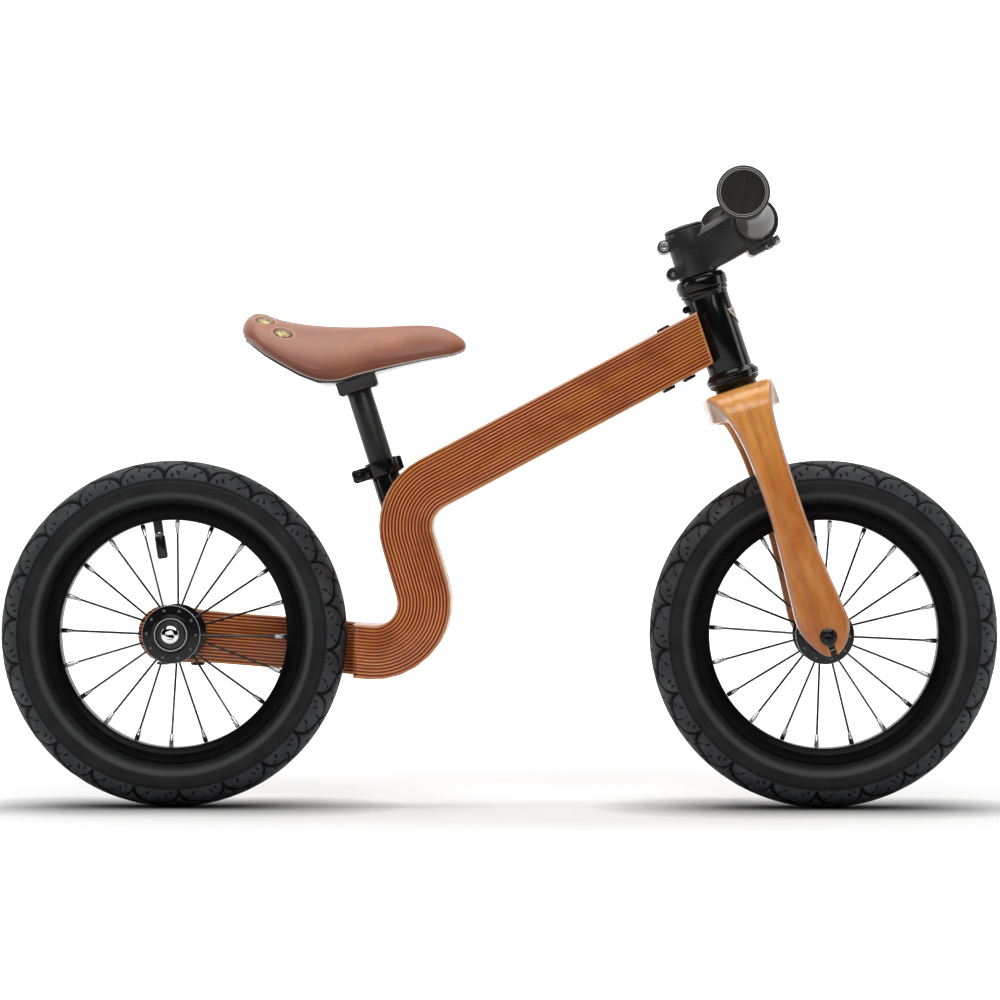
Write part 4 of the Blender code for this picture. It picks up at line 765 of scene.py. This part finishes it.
def tread_depth(angle, w, offset):
    """Groove depth, 0 to 1, over the tread of one side. w is the distance above the tread's edge."""
    pitch = 2 * math.pi * TREAD_RADIUS / SCALLOPS
    phase = np.mod(angle * SCALLOPS / (2 * math.pi) + offset, 1.0)
    x = (phase - 0.5) * pitch
    other = (np.mod(phase + 0.5, 1.0) - 0.5) * pitch
    reach, lift = pitch / 2, 0.0172
    depth = scallop_groove(x, w, reach, lift, 0.0011)
    second = scallop_groove(other, w - 0.0135, reach * 0.98, 0.0140, 0.0010)
    depth = np.maximum(depth, second)
    depth = np.maximum(depth, dash(x, w, 0.13 * reach, 0.90 * lift, 0.0020, 0.6, 0.0012))
    for at_x, at_w, length, slant in ((-0.42, 0.30, 0.0030, -0.5), (-0.10, 0.60, 0.0030, 0.2),
            (0.34, 0.22, 0.0030, 0.6), (0.58, 0.45, 0.0024, 0.9), (-0.66, 0.16, 0.0022, -0.2)):
        depth = np.maximum(depth, dash(x, w, at_x * reach, at_w * lift, length, slant, 0.0008))
    for at_x, at_w, length, slant in ((-0.30, 0.80, 0.0030, 0.7), (0.20, 0.62, 0.0028, -0.4),
            (0.0, 1.12, 0.0034, 0.3)):
        depth = np.maximum(depth, dash(other, w, at_x * reach, at_w * lift, length, slant, 0.0008))
    return depth


def tyre_mesh(turn):
    """The whole tyre: a hollow C section whose outside carries the moulded tread."""
    places, ys, rs, edge = tyre_samples()
    steps = SCALLOPS * 60
    angles = np.arange(steps) * 2 * math.pi / steps
    gradient = np.stack([np.gradient(ys), np.gradient(rs)])
    gradient /= np.linalg.norm(gradient, axis=0)
    normal_y, normal_r = -gradient[1], gradient[0]
    w = edge - places
    halves, groove_shades, walls = [], [], []
    for sign, offset in ((1, 0.0), (-1, 0.5)):
        depth = tread_depth(angles[:, None], w[None, :], offset) * smoothstep((w + 0.0004) / 0.0010)[None, :]
        shoulder = np.exp(-((w + 0.0018) / 0.0011) ** 2)
        sidewall_band = 0.00035 * np.exp(-((rs - 0.1249) / 0.00035) ** 2) + \
            0.00022 * np.exp(-((rs - 0.1128) / 0.0003) ** 2)
        bars = np.clip(np.sin(angles * 220) * 4, 0, 1)[:, None] * \
            np.exp(-((rs - 0.1196) / 0.0014) ** 2)[None, :]
        shift = -GROOVE_DEPTH * depth - SHOULDER_DEPTH * shoulder[None, :] + \
            sidewall_band[None, :] + 0.00025 * bars
        radius = rs[None, :] + normal_r[None, :] * shift
        across = ys[None, :] + normal_y[None, :] * shift
        half = np.stack(
            [np.cos(angles)[:, None] * radius, np.sin(angles)[:, None] * radius, sign * across], -1)
        halves.append(half)
        # painted shade: how dark the grooves and the shoulder dip are coloured
        groove_shades.append(np.clip(depth + 0.45 * shoulder[None, :], 0, 1))
        walls.append(np.repeat(smoothstep(-(w - 0.0004) / 0.0012)[None, :], steps, 0))
    inside = [(0.1023, 0.0066), (0.1091, 0.0070), (0.1130, 0.0140), (0.1180, 0.0180), (0.1300, 0.0202),
        (0.1370, 0.0160), (0.1410, 0.0080), (0.1420, 0.0)]
    inside = mirrored(inside)
    inner = np.zeros((steps, len(inside), 3))
    for j, (r, y) in enumerate(inside):
        inner[:, j] = np.stack([np.cos(angles) * r, np.sin(angles) * r, np.full(steps, y)], -1)
    rows = np.concatenate([halves[1][:, ::-1], halves[0], inner], axis=1)
    mesh = grid_mesh("tyre", rows, wrap_rows=True)
    blank = np.zeros((steps, len(inside)))
    for name, parts in (("groove", groove_shades), ("sidewall", walls)):
        paint(mesh, name, np.concatenate([parts[1][:, ::-1], parts[0], blank], axis=1))
    mesh.materials.append(MATS["tyre"])
    mesh.transform(Matrix.Rotation(turn, 4, "Z"))
    return mesh


def rim_mesh():
    half = rounded([(0.0995, 0.0106, 0.0), (0.1080, 0.0108, 0.0), (0.1086, 0.0112, 0.0002),
        (0.1085, 0.0125, 0.0006), (0.1040, 0.0125, 0.0010), (0.1010, 0.0123, 0.0010),
        (0.0966, 0.0098, 0.0007), (RIM_INNER_RADIUS, 0.0080, 0.0006), (RIM_INNER_RADIUS, 0.0, 0.0)])
    return lathe("rim", mirrored(half), 200)


def hub_mesh():
    half = rounded([(0.0123, HUB_HALF_LENGTH - 0.0008, 0.0), (0.0128, HUB_HALF_LENGTH, 0.0002),
        (0.0131, HUB_HALF_LENGTH, 0.0001), (0.0133, HUB_HALF_LENGTH, 0.0),
        (0.0152, HUB_HALF_LENGTH, 0.0005), (0.0155, HUB_FLANGE_Y + 0.0026, 0.0006),
        (0.0162, HUB_FLANGE_Y + 0.0013, 0.0006), (HUB_FLANGE_RADIUS, HUB_FLANGE_Y + 0.0012, 0.0006),
        (HUB_FLANGE_RADIUS, HUB_FLANGE_Y - 0.0012, 0.0004), (0.0165, HUB_FLANGE_Y - 0.0020, 0.0010),
        (0.0132, HUB_FLANGE_Y - 0.0090, 0.0020), (0.0130, 0.0, 0.0)])
    seat = HUB_HALF_LENGTH - 0.0080
    inside = [(0.0123, -seat), (0.0090, -seat), (0.0090, seat), (0.0123, seat)]
    return lathe("hub_shell", mirrored(half) + inside, 96)


def strands(name, pieces, sides=10):
    """Several separate turned rods in one mesh. Each is (start, end, [(distance, radius), ...])."""
    verts, faces = [], []
    for start, end, profile in pieces:
        axis = (end - start).normalized()
        side = axis.orthogonal().normalized()
        lift = axis.cross(side)
        base = len(verts)
        for distance, radius in profile:
            for j in range(sides):
                turn = 2 * math.pi * j / sides
                around = side * math.cos(turn) + lift * math.sin(turn)
                verts.append(start + axis * distance + around * radius)
        for i in range(len(profile) - 1):
            for j in range(sides):
                a, b = base + i * sides + j, base + i * sides + (j + 1) % sides
                faces.append((a, b, b + sides, a + sides))
        faces.append(tuple(base + j for j in range(sides))[::-1])
        last = base + (len(profile) - 1) * sides
        faces.append(tuple(last + j for j in range(sides)))
    mesh = bpy.data.meshes.new(name)
    mesh.from_pydata([tuple(v) for v in verts], [], faces)
    face_outward(mesh)
    return mesh


SPOKE_CIRCLE = 0.0205


def spoke_lines(turn):
    """Where each spoke runs, from its flange to the rim, in the wheel's frame."""
    for index in range(SPOKES):
        side = -1 if index % 2 == 0 else 1
        angle = 2 * math.pi * index / SPOKES + turn
        start = Vector((SPOKE_CIRCLE * math.cos(angle), SPOKE_CIRCLE * math.sin(angle), side * HUB_FLANGE_Y))
        reach = RIM_INNER_RADIUS - 0.0006
        yield start, Vector((reach * math.cos(angle), reach * math.sin(angle), 0.0)), side


def make_spokes(prefix, body, matrix, turn, nodes):
    spokes, nipples, heads = [], [], []
    for start, end, side in spoke_lines(turn):
        length = (end - start).length
        lift = Vector((0, 0, side * 0.0003))
        spokes.append((start + lift, end, [(0.0, 0.0009), (0.002, 0.00095), (length - 0.006, 0.00095),
            (length - 0.006, 0.0008)]))
        nipples.append((start + lift, end, [(length - 0.0105, 0.0011), (length - 0.0100, 0.0016),
            (length - 0.0062, 0.0017), (length - 0.0058, 0.0021), (length - 0.0006, 0.0021),
            (length, 0.0018)]))
        out = Vector((start.x, start.y, side * (HUB_FLANGE_Y + 0.0011)))
        heads.append((out, out + Vector((0, 0, side)), [(0.0, 0.0013), (0.0004, 0.0013), (0.0009, 0.0009),
            (0.0011, 0.0004)]))
    finish_mesh(f"{prefix}_spokes", strands(f"{prefix}_spokes", spokes), SPOKE, body,
        nodes, matrix)
    finish_mesh(f"{prefix}_spoke_nipples", strands(f"{prefix}_spoke_nipples", nipples, 12), NIPPLE, body,
        (), matrix)
    finish_mesh(f"{prefix}_spoke_heads", strands(f"{prefix}_spoke_heads", heads, 12), SPOKE_HEAD, body,
        (), matrix)


def make_valve(prefix, body, matrix, turn):
    """The pale threaded collar between the rubber valve stem and its cap."""
    angle = VALVE_ANGLE + turn
    along = Vector((math.cos(angle), math.sin(angle), 0.0))
    profile = [(0.0820, 0.0030)]
    for i in range(4):
        low = 0.0829 + i * 0.0007
        profile += [(low, 0.0043), (low + 0.0003, 0.0046), (low + 0.0006, 0.0043)]
    profile += [(0.0862, 0.0041)]
    mesh = strands(f"{prefix}_valve_collar", [(Vector(), along, profile)], 24)
    finish_mesh(f"{prefix}_valve_collar", mesh, NIPPLE, body, (), matrix)


def make_wheels():
    rim, hub = rim_mesh(), hub_mesh()
    for prefix, x in (("rear", -AXLE_X), ("front", AXLE_X)):
        body, turn = f"{prefix}_wheel", WHEEL_TURN[prefix]
        matrix = Matrix.Translation((x, 0, WHEEL_RADIUS)) @ Matrix.Rotation(-math.pi / 2, 4, "X")
        finish_mesh(f"{prefix}_tyre_rubber", tyre_mesh(TREAD_TURN[prefix]), MATS["tyre"], body,
            (f"{prefix}_tyre",), matrix, 60)
        finish_mesh(f"{prefix}_rim_hoop", rim, MATS["rim_and_hub_black"], body,
            (f"{prefix}_rim",), matrix)
        finish_mesh(f"{prefix}_hub_shell", hub, HUB, body,
            (f"{prefix}_hub_and_spokes",), matrix)
        make_spokes(prefix, body, matrix, turn, (f"{prefix}_hub_and_spokes",))
        make_valve(prefix, body, matrix, turn)


# ---------------------------------------------------------------- fork
def fork_stations():
    """Stations of one half, from the crown's middle to the leg's tip.

    Each is (y, height, angle of the outward normal, thickness, rear edge, front edge).
    """
    stations = [(0.0, -0.1028, 0, 0.0230, -0.0312, 0.0300), (0.024, -0.1028, 0, 0.0230, -0.0308, 0.0296)]
    radius = 0.0160
    centre_y, centre_h = FORK_LEG_Y - radius, -0.1028 - radius
    for degrees, thickness, rear, front in ((0, 0.0222, -0.0296, 0.0285), (30, 0.0212, -0.0262, 0.0260),
            (60, 0.0202, -0.0215, 0.0228), (90, 0.0192, -0.0168, 0.0200)):
        turn = math.radians(degrees)
        stations.append((centre_y + radius * math.sin(turn), centre_h + radius * math.cos(turn), degrees,
            thickness, rear, front))
    for height, rear, front in ((-0.138, -0.0130, 0.0183), (-0.157, -0.0113, 0.0177),
            (-0.190, -0.0104, 0.0175), (-0.214, -0.0111, 0.0177), (-0.238, -0.0128, 0.0188),
            (-0.264, -0.0153, 0.0209), (-0.289, -0.0176, 0.0235), (-0.299, -0.0170, 0.0244),
            (-0.306, -0.0150, 0.0236), (-0.313, -0.0118, 0.0208), (-0.3195, -0.0078, 0.0162),
            (-0.3235, -0.0045, 0.0118), (-0.3262, -0.0005, 0.0070)):
        stations.append((FORK_LEG_Y, height, 90, 0.0180, rear, front))
    return stations


def fork_section(y, height, degrees, thickness, rear, front):
    """A section across the arch with rounded outer corners."""
    turn = math.radians(degrees)
    normal = np.array([0.0, math.sin(turn), math.cos(turn)])
    centre = np.array([0.0, y, height])
    outer = min(0.0046, (front - rear) * 0.25)
    inner = min(0.0018, (front - rear) * 0.2)
    half = thickness / 2
    ring = []
    corners = ((rear, half, outer, (1, 0), (0, -1)), (front, half, outer, (0, -1), (-1, 0)),
        (front, -half, inner, (-1, 0), (0, 1)), (rear, -half, inner, (0, 1), (1, 0)))
    for f, n, size, leave, arrive in corners:
        for step in range(7):
            t = step / 6 * math.pi / 2
            a, b = 1 - math.sin(t), 1 - math.cos(t)
            along = np.array(arrive) * a + np.array(leave) * b
            ring.append(centre + normal * (n + along[1] * size) + np.array([f + along[0] * size, 0, 0]))
    return ring


def make_fork():
    half = catmull(fork_stations(), 6)
    left = [fork_section(*row) for row in half]
    right = [[np.array([p[0], -p[1], p[2]]) for p in ring] for ring in reversed(left[1:])]
    mesh = grid_mesh("fork_lacquered", np.array(right + left), caps=True)
    fork = new_object("fork_build", mesh)
    cutters = []
    slot_half, slot_depth, leg_y, leg_cut = 0.0027, 0.030, 0.0575, 0.035
    f, h = FORK_AXLE
    for side in (-1, 1):
        bm = bmesh.new()
        bmesh.ops.create_cube(bm, size=1.0)
        for vert in bm.verts:
            vert.co = Vector((f + vert.co.x * 2 * slot_half, side * leg_y + vert.co.y * leg_cut,
                h - slot_depth / 2 + vert.co.z * slot_depth))
        cutters.append(bm)
        bm = bmesh.new()
        across = Matrix.Translation((f, side * leg_y, h)) @ Matrix.Rotation(math.pi / 2, 4, "X")
        bmesh.ops.create_cone(bm, segments=24, radius1=slot_half, radius2=slot_half, depth=leg_cut,
            cap_ends=True, matrix=across)
        cutters.append(bm)
    bm = bmesh.new()
    bore = STEERER_RADIUS + 0.0003
    bmesh.ops.create_cone(bm, segments=48, radius1=bore, radius2=bore, depth=0.06, cap_ends=True,
        matrix=Matrix.Translation((0, 0, -0.105)))
    cutters.append(bm)
    helpers = []
    for i, bm in enumerate(cutters):
        cutter_mesh = bpy.data.meshes.new(f"fork_cutter_{i}")
        bm.to_mesh(cutter_mesh)
        bm.free()
        helper = new_object(f"fork_cutter_{i}", cutter_mesh)
        helpers.append(helper)
        modifier = fork.modifiers.new("cut", "BOOLEAN")
        modifier.operation = "DIFFERENCE"
        modifier.solver = "EXACT"
        modifier.object = helper
    bpy.context.view_layer.update()
    evaluated = fork.evaluated_get(bpy.context.evaluated_depsgraph_get())
    result = bpy.data.meshes.new_from_object(evaluated)
    for helper in [fork, *helpers]:
        bpy.data.objects.remove(helper)
    result.transform(STEERING)
    result.materials.clear()
    finish_mesh("fork_lacquered", result, MATS["fork_wood"], "steering", ("fork",), None, 40)


# ---------------------------------------------------------------- handlebar and grips
BAR_WORLD = STEERING @ Vector((BAR_CENTRE[0], 0, BAR_CENTRE[1]))
GRIP_INNER = Vector((0.2050, 0.092, 0.5020))
GRIP_OUTER = Vector((0.1972, 0.200, 0.5012))


def make_handlebar():
    half = [BAR_WORLD, BAR_WORLD + Vector((0, 0.024, 0)), BAR_WORLD + Vector((-0.0010, 0.040, 0.0018)),
        Vector((0.2095, 0.070, 0.4988))]
    half += [GRIP_INNER.lerp(GRIP_OUTER, t) for t in (-0.055, 0.01, 0.12, 0.45, 0.965)]
    right = catmull([(p.x, -p.y, p.z) for p in reversed(half)], 14)
    left = [(p[0], -p[1], p[2]) for p in reversed(right)][1:]
    points = [tuple(p) for p in right] + left
    radii = []
    for point in points:
        t = float(smoothstep((abs(point[1]) - 0.026) / 0.040))
        radii.append(BAR_CLAMP_RADIUS + (BAR_RADIUS - BAR_CLAMP_RADIUS) * t)
    mesh = tube_along("handlebar_tube", points, radii, 48)
    finish_mesh("handlebar_tube", mesh, BAR_PAINTED_REFLECTION, "steering", ("handlebar",))


def make_grip(name, side):
    """A ribbed rubber sleeve with a flange at each end, and a ringed end face with a small moulding nub."""
    start = Vector((GRIP_INNER.x, side * GRIP_INNER.y, GRIP_INNER.z))
    end = Vector((GRIP_OUTER.x, side * GRIP_OUTER.y, GRIP_OUTER.z))
    length = (end - start).length
    face = length - 0.0004
    corners = [(0.0, face + 0.0003, 0.0), (0.0011, face + 0.0003, 0.0002), (0.0015, face, 0.0003)]
    for ring in (0.0180, 0.0195):
        corners += [(ring - 0.0005, face, 0.0001), (ring - 0.0003, face + 0.0004, 0.0001),
            (ring + 0.0002, face + 0.0004, 0.0001), (ring + 0.0004, face, 0.0001)]
    corners += [(0.0206, face, 0.0003), (0.0213, length - 0.0016, 0.0005),
        (0.0213, length - 0.0040, 0.0010), (0.0160, length - 0.0062, 0.0012),
        (0.0146, length - 0.0090, 0.0010)]
    ribs = 26
    first, last = length - 0.0120, 0.0100
    for i in range(ribs):
        at = first + (last - first) * i / (ribs - 1)
        corners += [(0.0138, at + 0.0007, 0.0003), (0.0145, at + 0.0002, 0.0003),
            (0.0145, at - 0.0009, 0.0003), (0.0138, at - 0.0014, 0.0003)]
    corners += [(0.0142, 0.0060, 0.0006), (0.0150, 0.0045, 0.0006), (0.0152, 0.0010, 0.0005),
        (0.0144, 0.0, 0.0004), (BAR_RADIUS + 0.0003, 0.0, 0.0), (BAR_RADIUS + 0.0003, length - 0.0030, 0.0),
        (0.0, length - 0.0030, 0.0)]
    mesh = lathe(name, rounded(corners, 3), 72, closed=False)
    ring = []
    for vert in mesh.vertices:
        radius = math.hypot(vert.co.x, vert.co.y)
        raised = vert.co.z > face + 0.00015
        ring.append(1.0 if raised and radius > 0.012 else 0.0)
    paint(mesh, "ring", ring)
    turn = (end - start).to_track_quat("Z", "Y").to_matrix().to_4x4()
    finish_mesh(f"{name}_rubber", mesh, MATS["grip_rubber"], "steering", (name,),
        Matrix.Translation(start) @ turn, 40)


# ---------------------------------------------------------------- head badge
def make_badge():
    """A plain shield on the front of the head tube, with a raised cream border round a dark field."""
    columns, rows = 41, 33
    radius, high, low = 0.0189, -0.0255, -0.0395
    top_half = 46.0
    points = np.zeros((rows, columns, 3))
    border = np.zeros((rows, columns))
    for i in range(rows):
        v = i / (rows - 1)
        half = math.radians(top_half) * (1 - v ** 1.6) + 0.02
        for j in range(columns):
            u = 2 * j / (columns - 1) - 1
            h = high + (low - high) * v + 0.0010 * (1 - abs(u)) * (1 - v)
            rim = min((1 - abs(u)) * half * radius, (high - h + 0.0010), 1.0)
            edge = 1.0 if rim < 0.0026 or v > 0.80 else 0.0
            reach = radius + 0.00045 + 0.0003 * edge
            turn = u * half
            points[i, j] = (reach * math.cos(turn), reach * math.sin(turn), h)
            border[i, j] = edge
    inner = points.copy()
    scale = (radius + 0.0001) / np.linalg.norm(points[:, :, :2], axis=-1)
    inner[:, :, :2] *= scale[:, :, None]
    count = rows * columns
    verts = np.concatenate([points.reshape(-1, 3), inner.reshape(-1, 3)])
    index = np.arange(count).reshape(rows, columns)
    faces = []
    for i in range(rows - 1):
        for j in range(columns - 1):
            a, b, c, d = index[i, j], index[i, j + 1], index[i + 1, j + 1], index[i + 1, j]
            faces.append((a, b, c, d))
            faces.append((d + count, c + count, b + count, a + count))
    loop = [*index[0, :-1], *index[:-1, -1], *index[-1, :0:-1], *index[:0:-1, 0]]
    for a, b in zip(loop, loop[1:] + loop[:1]):
        faces.append((a, a + count, b + count, b))
    mesh = bpy.data.meshes.new("head_badge")
    mesh.from_pydata(verts.tolist(), [], [tuple(int(k) for k in face) for face in faces])
    face_outward(mesh)
    paint(mesh, "border", np.concatenate([border, border]))
    mesh.transform(STEERING)
    finish_mesh("head_badge", mesh, badge_enamel(), "frame", ())


# ---------------------------------------------------------------- saddle
SADDLE_STATIONS = (
    # x, top, skirt's edge, half width
    (-0.2140, 0.4075, 0.3990, 0.0180), (-0.2105, 0.4122, 0.3945, 0.0340), (-0.2020, 0.4150, 0.3880, 0.0480),
    (-0.1930, 0.4136, 0.3812, 0.0555), (-0.1800, 0.4098, 0.3735, 0.0600), (-0.1640, 0.4070, 0.3648, 0.0620),
    (-0.1480, 0.4054, 0.3590, 0.0610), (-0.1320, 0.4047, 0.3590, 0.0545), (-0.1160, 0.4045, 0.3640, 0.0450),
    (-0.1000, 0.4048, 0.3684, 0.0360), (-0.0840, 0.4055, 0.3722, 0.0295), (-0.0660, 0.4060, 0.3762, 0.0245),
    (-0.0500, 0.4045, 0.3793, 0.0210), (-0.0380, 0.4000, 0.3815, 0.0170), (-0.0300, 0.3943, 0.3845, 0.0105),
    (-0.0272, 0.3908, 0.3868, 0.0045),
)
SADDLE_ROLL = 0.15
SADDLE_TUCK = 0.90


def make_saddle():
    """The leather cover: a domed closed form, rounded over its skirt, with a dish round each rivet."""
    stations = catmull(SADDLE_STATIONS, 16)
    spread = np.linspace(-1, 1, 141)
    bend = np.sin(spread * math.pi / 2)
    rings, sides = [], []
    for x, top, edge, half in stations:
        height = top - edge
        lift = SADDLE_ROLL + (1 - SADDLE_ROLL) * np.maximum(1 - np.abs(bend) ** 1.7, 0) ** 0.75
        upper = np.stack([np.full_like(bend, x), bend * half, edge + height * lift], -1)
        roll = []
        for t in np.linspace(0, 1, 8)[1:]:
            reach = half * (1 - (1 - SADDLE_TUCK) * t ** 2)
            roll.append((x, reach, edge + height * SADDLE_ROLL * (1 - t)))
        under = [(x, half * SADDLE_TUCK * c, edge) for c in (0.96, 0.5, 0.0, -0.5, -0.96)]
        other = [(px, -py, pz) for px, py, pz in reversed(roll)]
        ring = np.concatenate([upper, np.array(roll), np.array(under), np.array(other)])
        rings.append(ring)
        high = (ring[:, 2] - edge) / max(height, 1e-6)
        sides.append(1 - smoothstep((high - 0.10) / 0.55))
    rows = np.array(rings)
    side = np.array(sides)
    emboss, dish = np.zeros(rows.shape[:2]), np.zeros(rows.shape[:2])
    for name in ("centre", "left", "right", "left_corner", "right_corner"):
        low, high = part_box(f"saddle_rivet_{name}")
        centre = (low + high) / 2
        distance = np.linalg.norm(rows - np.array(centre), axis=-1)
        above = rows[:, :, 2] > centre.z - 0.012
        sunk = (1 - smoothstep((distance - 0.0074) / 0.0010)) * above
        ridge = np.exp(-((distance - 0.0096) / 0.0010) ** 2) * above
        # the dish mask carries painted shade round each rivet into the leather's colour
        dish = np.maximum(dish, (1 - smoothstep((distance - 0.0078) / 0.0007)) * above)
        emboss = np.maximum(emboss, ridge)
        rows[:, :, 2] += -0.0020 * sunk + 0.00045 * ridge
    mesh = grid_mesh("saddle_leather_cover", rows, caps=True)
    for name, values in (("side", side), ("emboss", emboss), ("dish", dish)):
        paint(mesh, name, values)
    cover = finish_mesh("saddle_leather_cover", mesh, MATS["saddle_leather"], "seat",
        ("saddle_cover",), None, 55)
    # painted reflection: a thin pale strip along each side of the skirt's edge
    edge_points = []
    for x, _top, edge, half in stations[10:-6:3]:
        edge_points.append((x, half * SADDLE_TUCK * 0.985, edge - 0.0003))
    for sign, name in ((-1, "right"), (1, "left")):
        points = [(px, sign * py, pz) for px, py, pz in edge_points]
        strip = tube_along(f"saddle_reflection_strip_{name}", points, [0.0006] * len(points), 10)
        finish_mesh(f"saddle_reflection_strip_{name}", strip, SADDLE_REFLECTION_STRIP, "seat", ())


make_wheels()
make_fork()
make_handlebar()
make_grip("grip_left", 1)
make_grip("grip_right", -1)
make_badge()
make_saddle()


# ---------------------------------------------------------------- stage, light and camera
def make_floor():
    """A white sweep: a floor that curves up into a backdrop far behind the bike."""
    half_width, bend_start, bend_radius, wall_top = 9.0, 1.6, 1.2, 4.0
    profile = [(-half_width, 0.0), (bend_start, 0.0)]
    for step in range(1, 13):
        turn = math.pi / 2 * step / 12
        profile.append((bend_start + bend_radius * math.sin(turn), bend_radius - bend_radius * math.cos(turn)))
    profile.append((bend_start + bend_radius, wall_top))
    rows = np.array([[(-half_width, y, z), (half_width, y, z)] for y, z in profile])
    mesh = grid_mesh("white_sweep", rows, wrap_columns=False)
    mesh.shade_smooth()
    m = Shader("white_sweep_paper", Roughness=0.9, Specular_IOR_Level=0.0, Emission_Color=(1, 1, 1, 1))
    fibre = m.noise(m.position, 60.0, 3.0)
    paper = m.ramp(fibre, [(0.3, (0.83, 0.83, 0.83)), (0.7, (0.85, 0.85, 0.85))])
    # painted shadow: ambient occlusion darkens the paper's colour near the wheels as contact shadow
    near = m.make("ShaderNodeAmbientOcclusion", samples=8)
    near.inputs["Distance"].default_value = 0.10
    open_sky = m.math("POWER", near.outputs["AO"], 3.0)
    m.colour(m.mix(open_sky, (0.05, 0.05, 0.05), paper))
    m.feed(m.bsdf.inputs["Emission Strength"], m.remap(m.split(m.position)[1], 0.5, 1.5, 0.0, 0.75))
    mesh.materials.append(m.mat)
    floor = new_object("white_sweep", mesh)


def make_world():
    """A dim room on the viewer's side, bright above and behind."""
    world = bpy.data.worlds.new("studio")
    bpy.context.scene.world = world
    world.use_nodes = True
    tree = world.node_tree
    coordinate = tree.nodes.new("ShaderNodeTexCoord")
    split = tree.nodes.new("ShaderNodeSeparateXYZ")
    tree.links.new(coordinate.outputs["Generated"], split.inputs[0])
    glow = []
    for output, low, high in ((split.outputs["Y"], -0.05, 0.45), (split.outputs["Z"], 0.45, 0.95)):
        remap = tree.nodes.new("ShaderNodeMapRange")
        remap.interpolation_type = "SMOOTHSTEP"
        remap.inputs["From Min"].default_value = low
        remap.inputs["From Max"].default_value = high
        tree.links.new(output, remap.inputs[0])
        glow.append(remap.outputs[0])
    brightest = tree.nodes.new("ShaderNodeMath")
    brightest.operation = "MAXIMUM"
    tree.links.new(glow[0], brightest.inputs[0])
    tree.links.new(glow[1], brightest.inputs[1])
    level = tree.nodes.new("ShaderNodeMath")
    level.operation = "MULTIPLY_ADD"
    tree.links.new(brightest.outputs[0], level.inputs[0])
    level.inputs[1].default_value = 0.75
    level.inputs[2].default_value = 0.03
    tree.links.new(level.outputs[0], tree.nodes["Background"].inputs["Strength"])


def area_light(name, place, target, size, power):
    light = bpy.data.lights.new(name, "AREA")
    light.shape = "RECTANGLE"
    light.size, light.size_y = size
    light.energy = power
    obj = new_object(name, light)
    obj.location = place
    obj.rotation_euler = (Vector(target) - Vector(place)).to_track_quat("-Z", "Y").to_euler()


def make_camera():
    camera = bpy.data.cameras.new("camera")
    camera.sensor_width = 36.0
    camera.lens = 132.46
    camera.clip_end = 50.0
    obj = new_object("camera", camera)
    obj.location = (0.0665, -3.1, 0.2587)
    obj.rotation_euler = (math.radians(90), 0, math.radians(1.2))
    bpy.context.scene.camera = obj


make_floor()
make_world()
area_light("top_softbox", (0.0, 0.3, 2.4), (0.0, 0.0, 0.2), (2.6, 1.6), 46.0)
area_light("front_softbox", (0.0, -2.3, 2.3), (0.0, 0.0, 0.3), (3.2, 1.4), 60.0)
area_light("left_softbox", (-2.6, -0.3, 0.9), (0.0, 0.0, 0.3), (0.8, 1.8), 14.0)
area_light("right_softbox", (2.6, -0.3, 0.9), (0.0, 0.0, 0.3), (0.8, 1.8), 14.0)
make_camera()
bpy.context.scene.view_settings.view_transform = "Standard"
bpy.context.scene.view_settings.look = "None"

bpy.context.view_layer.update()
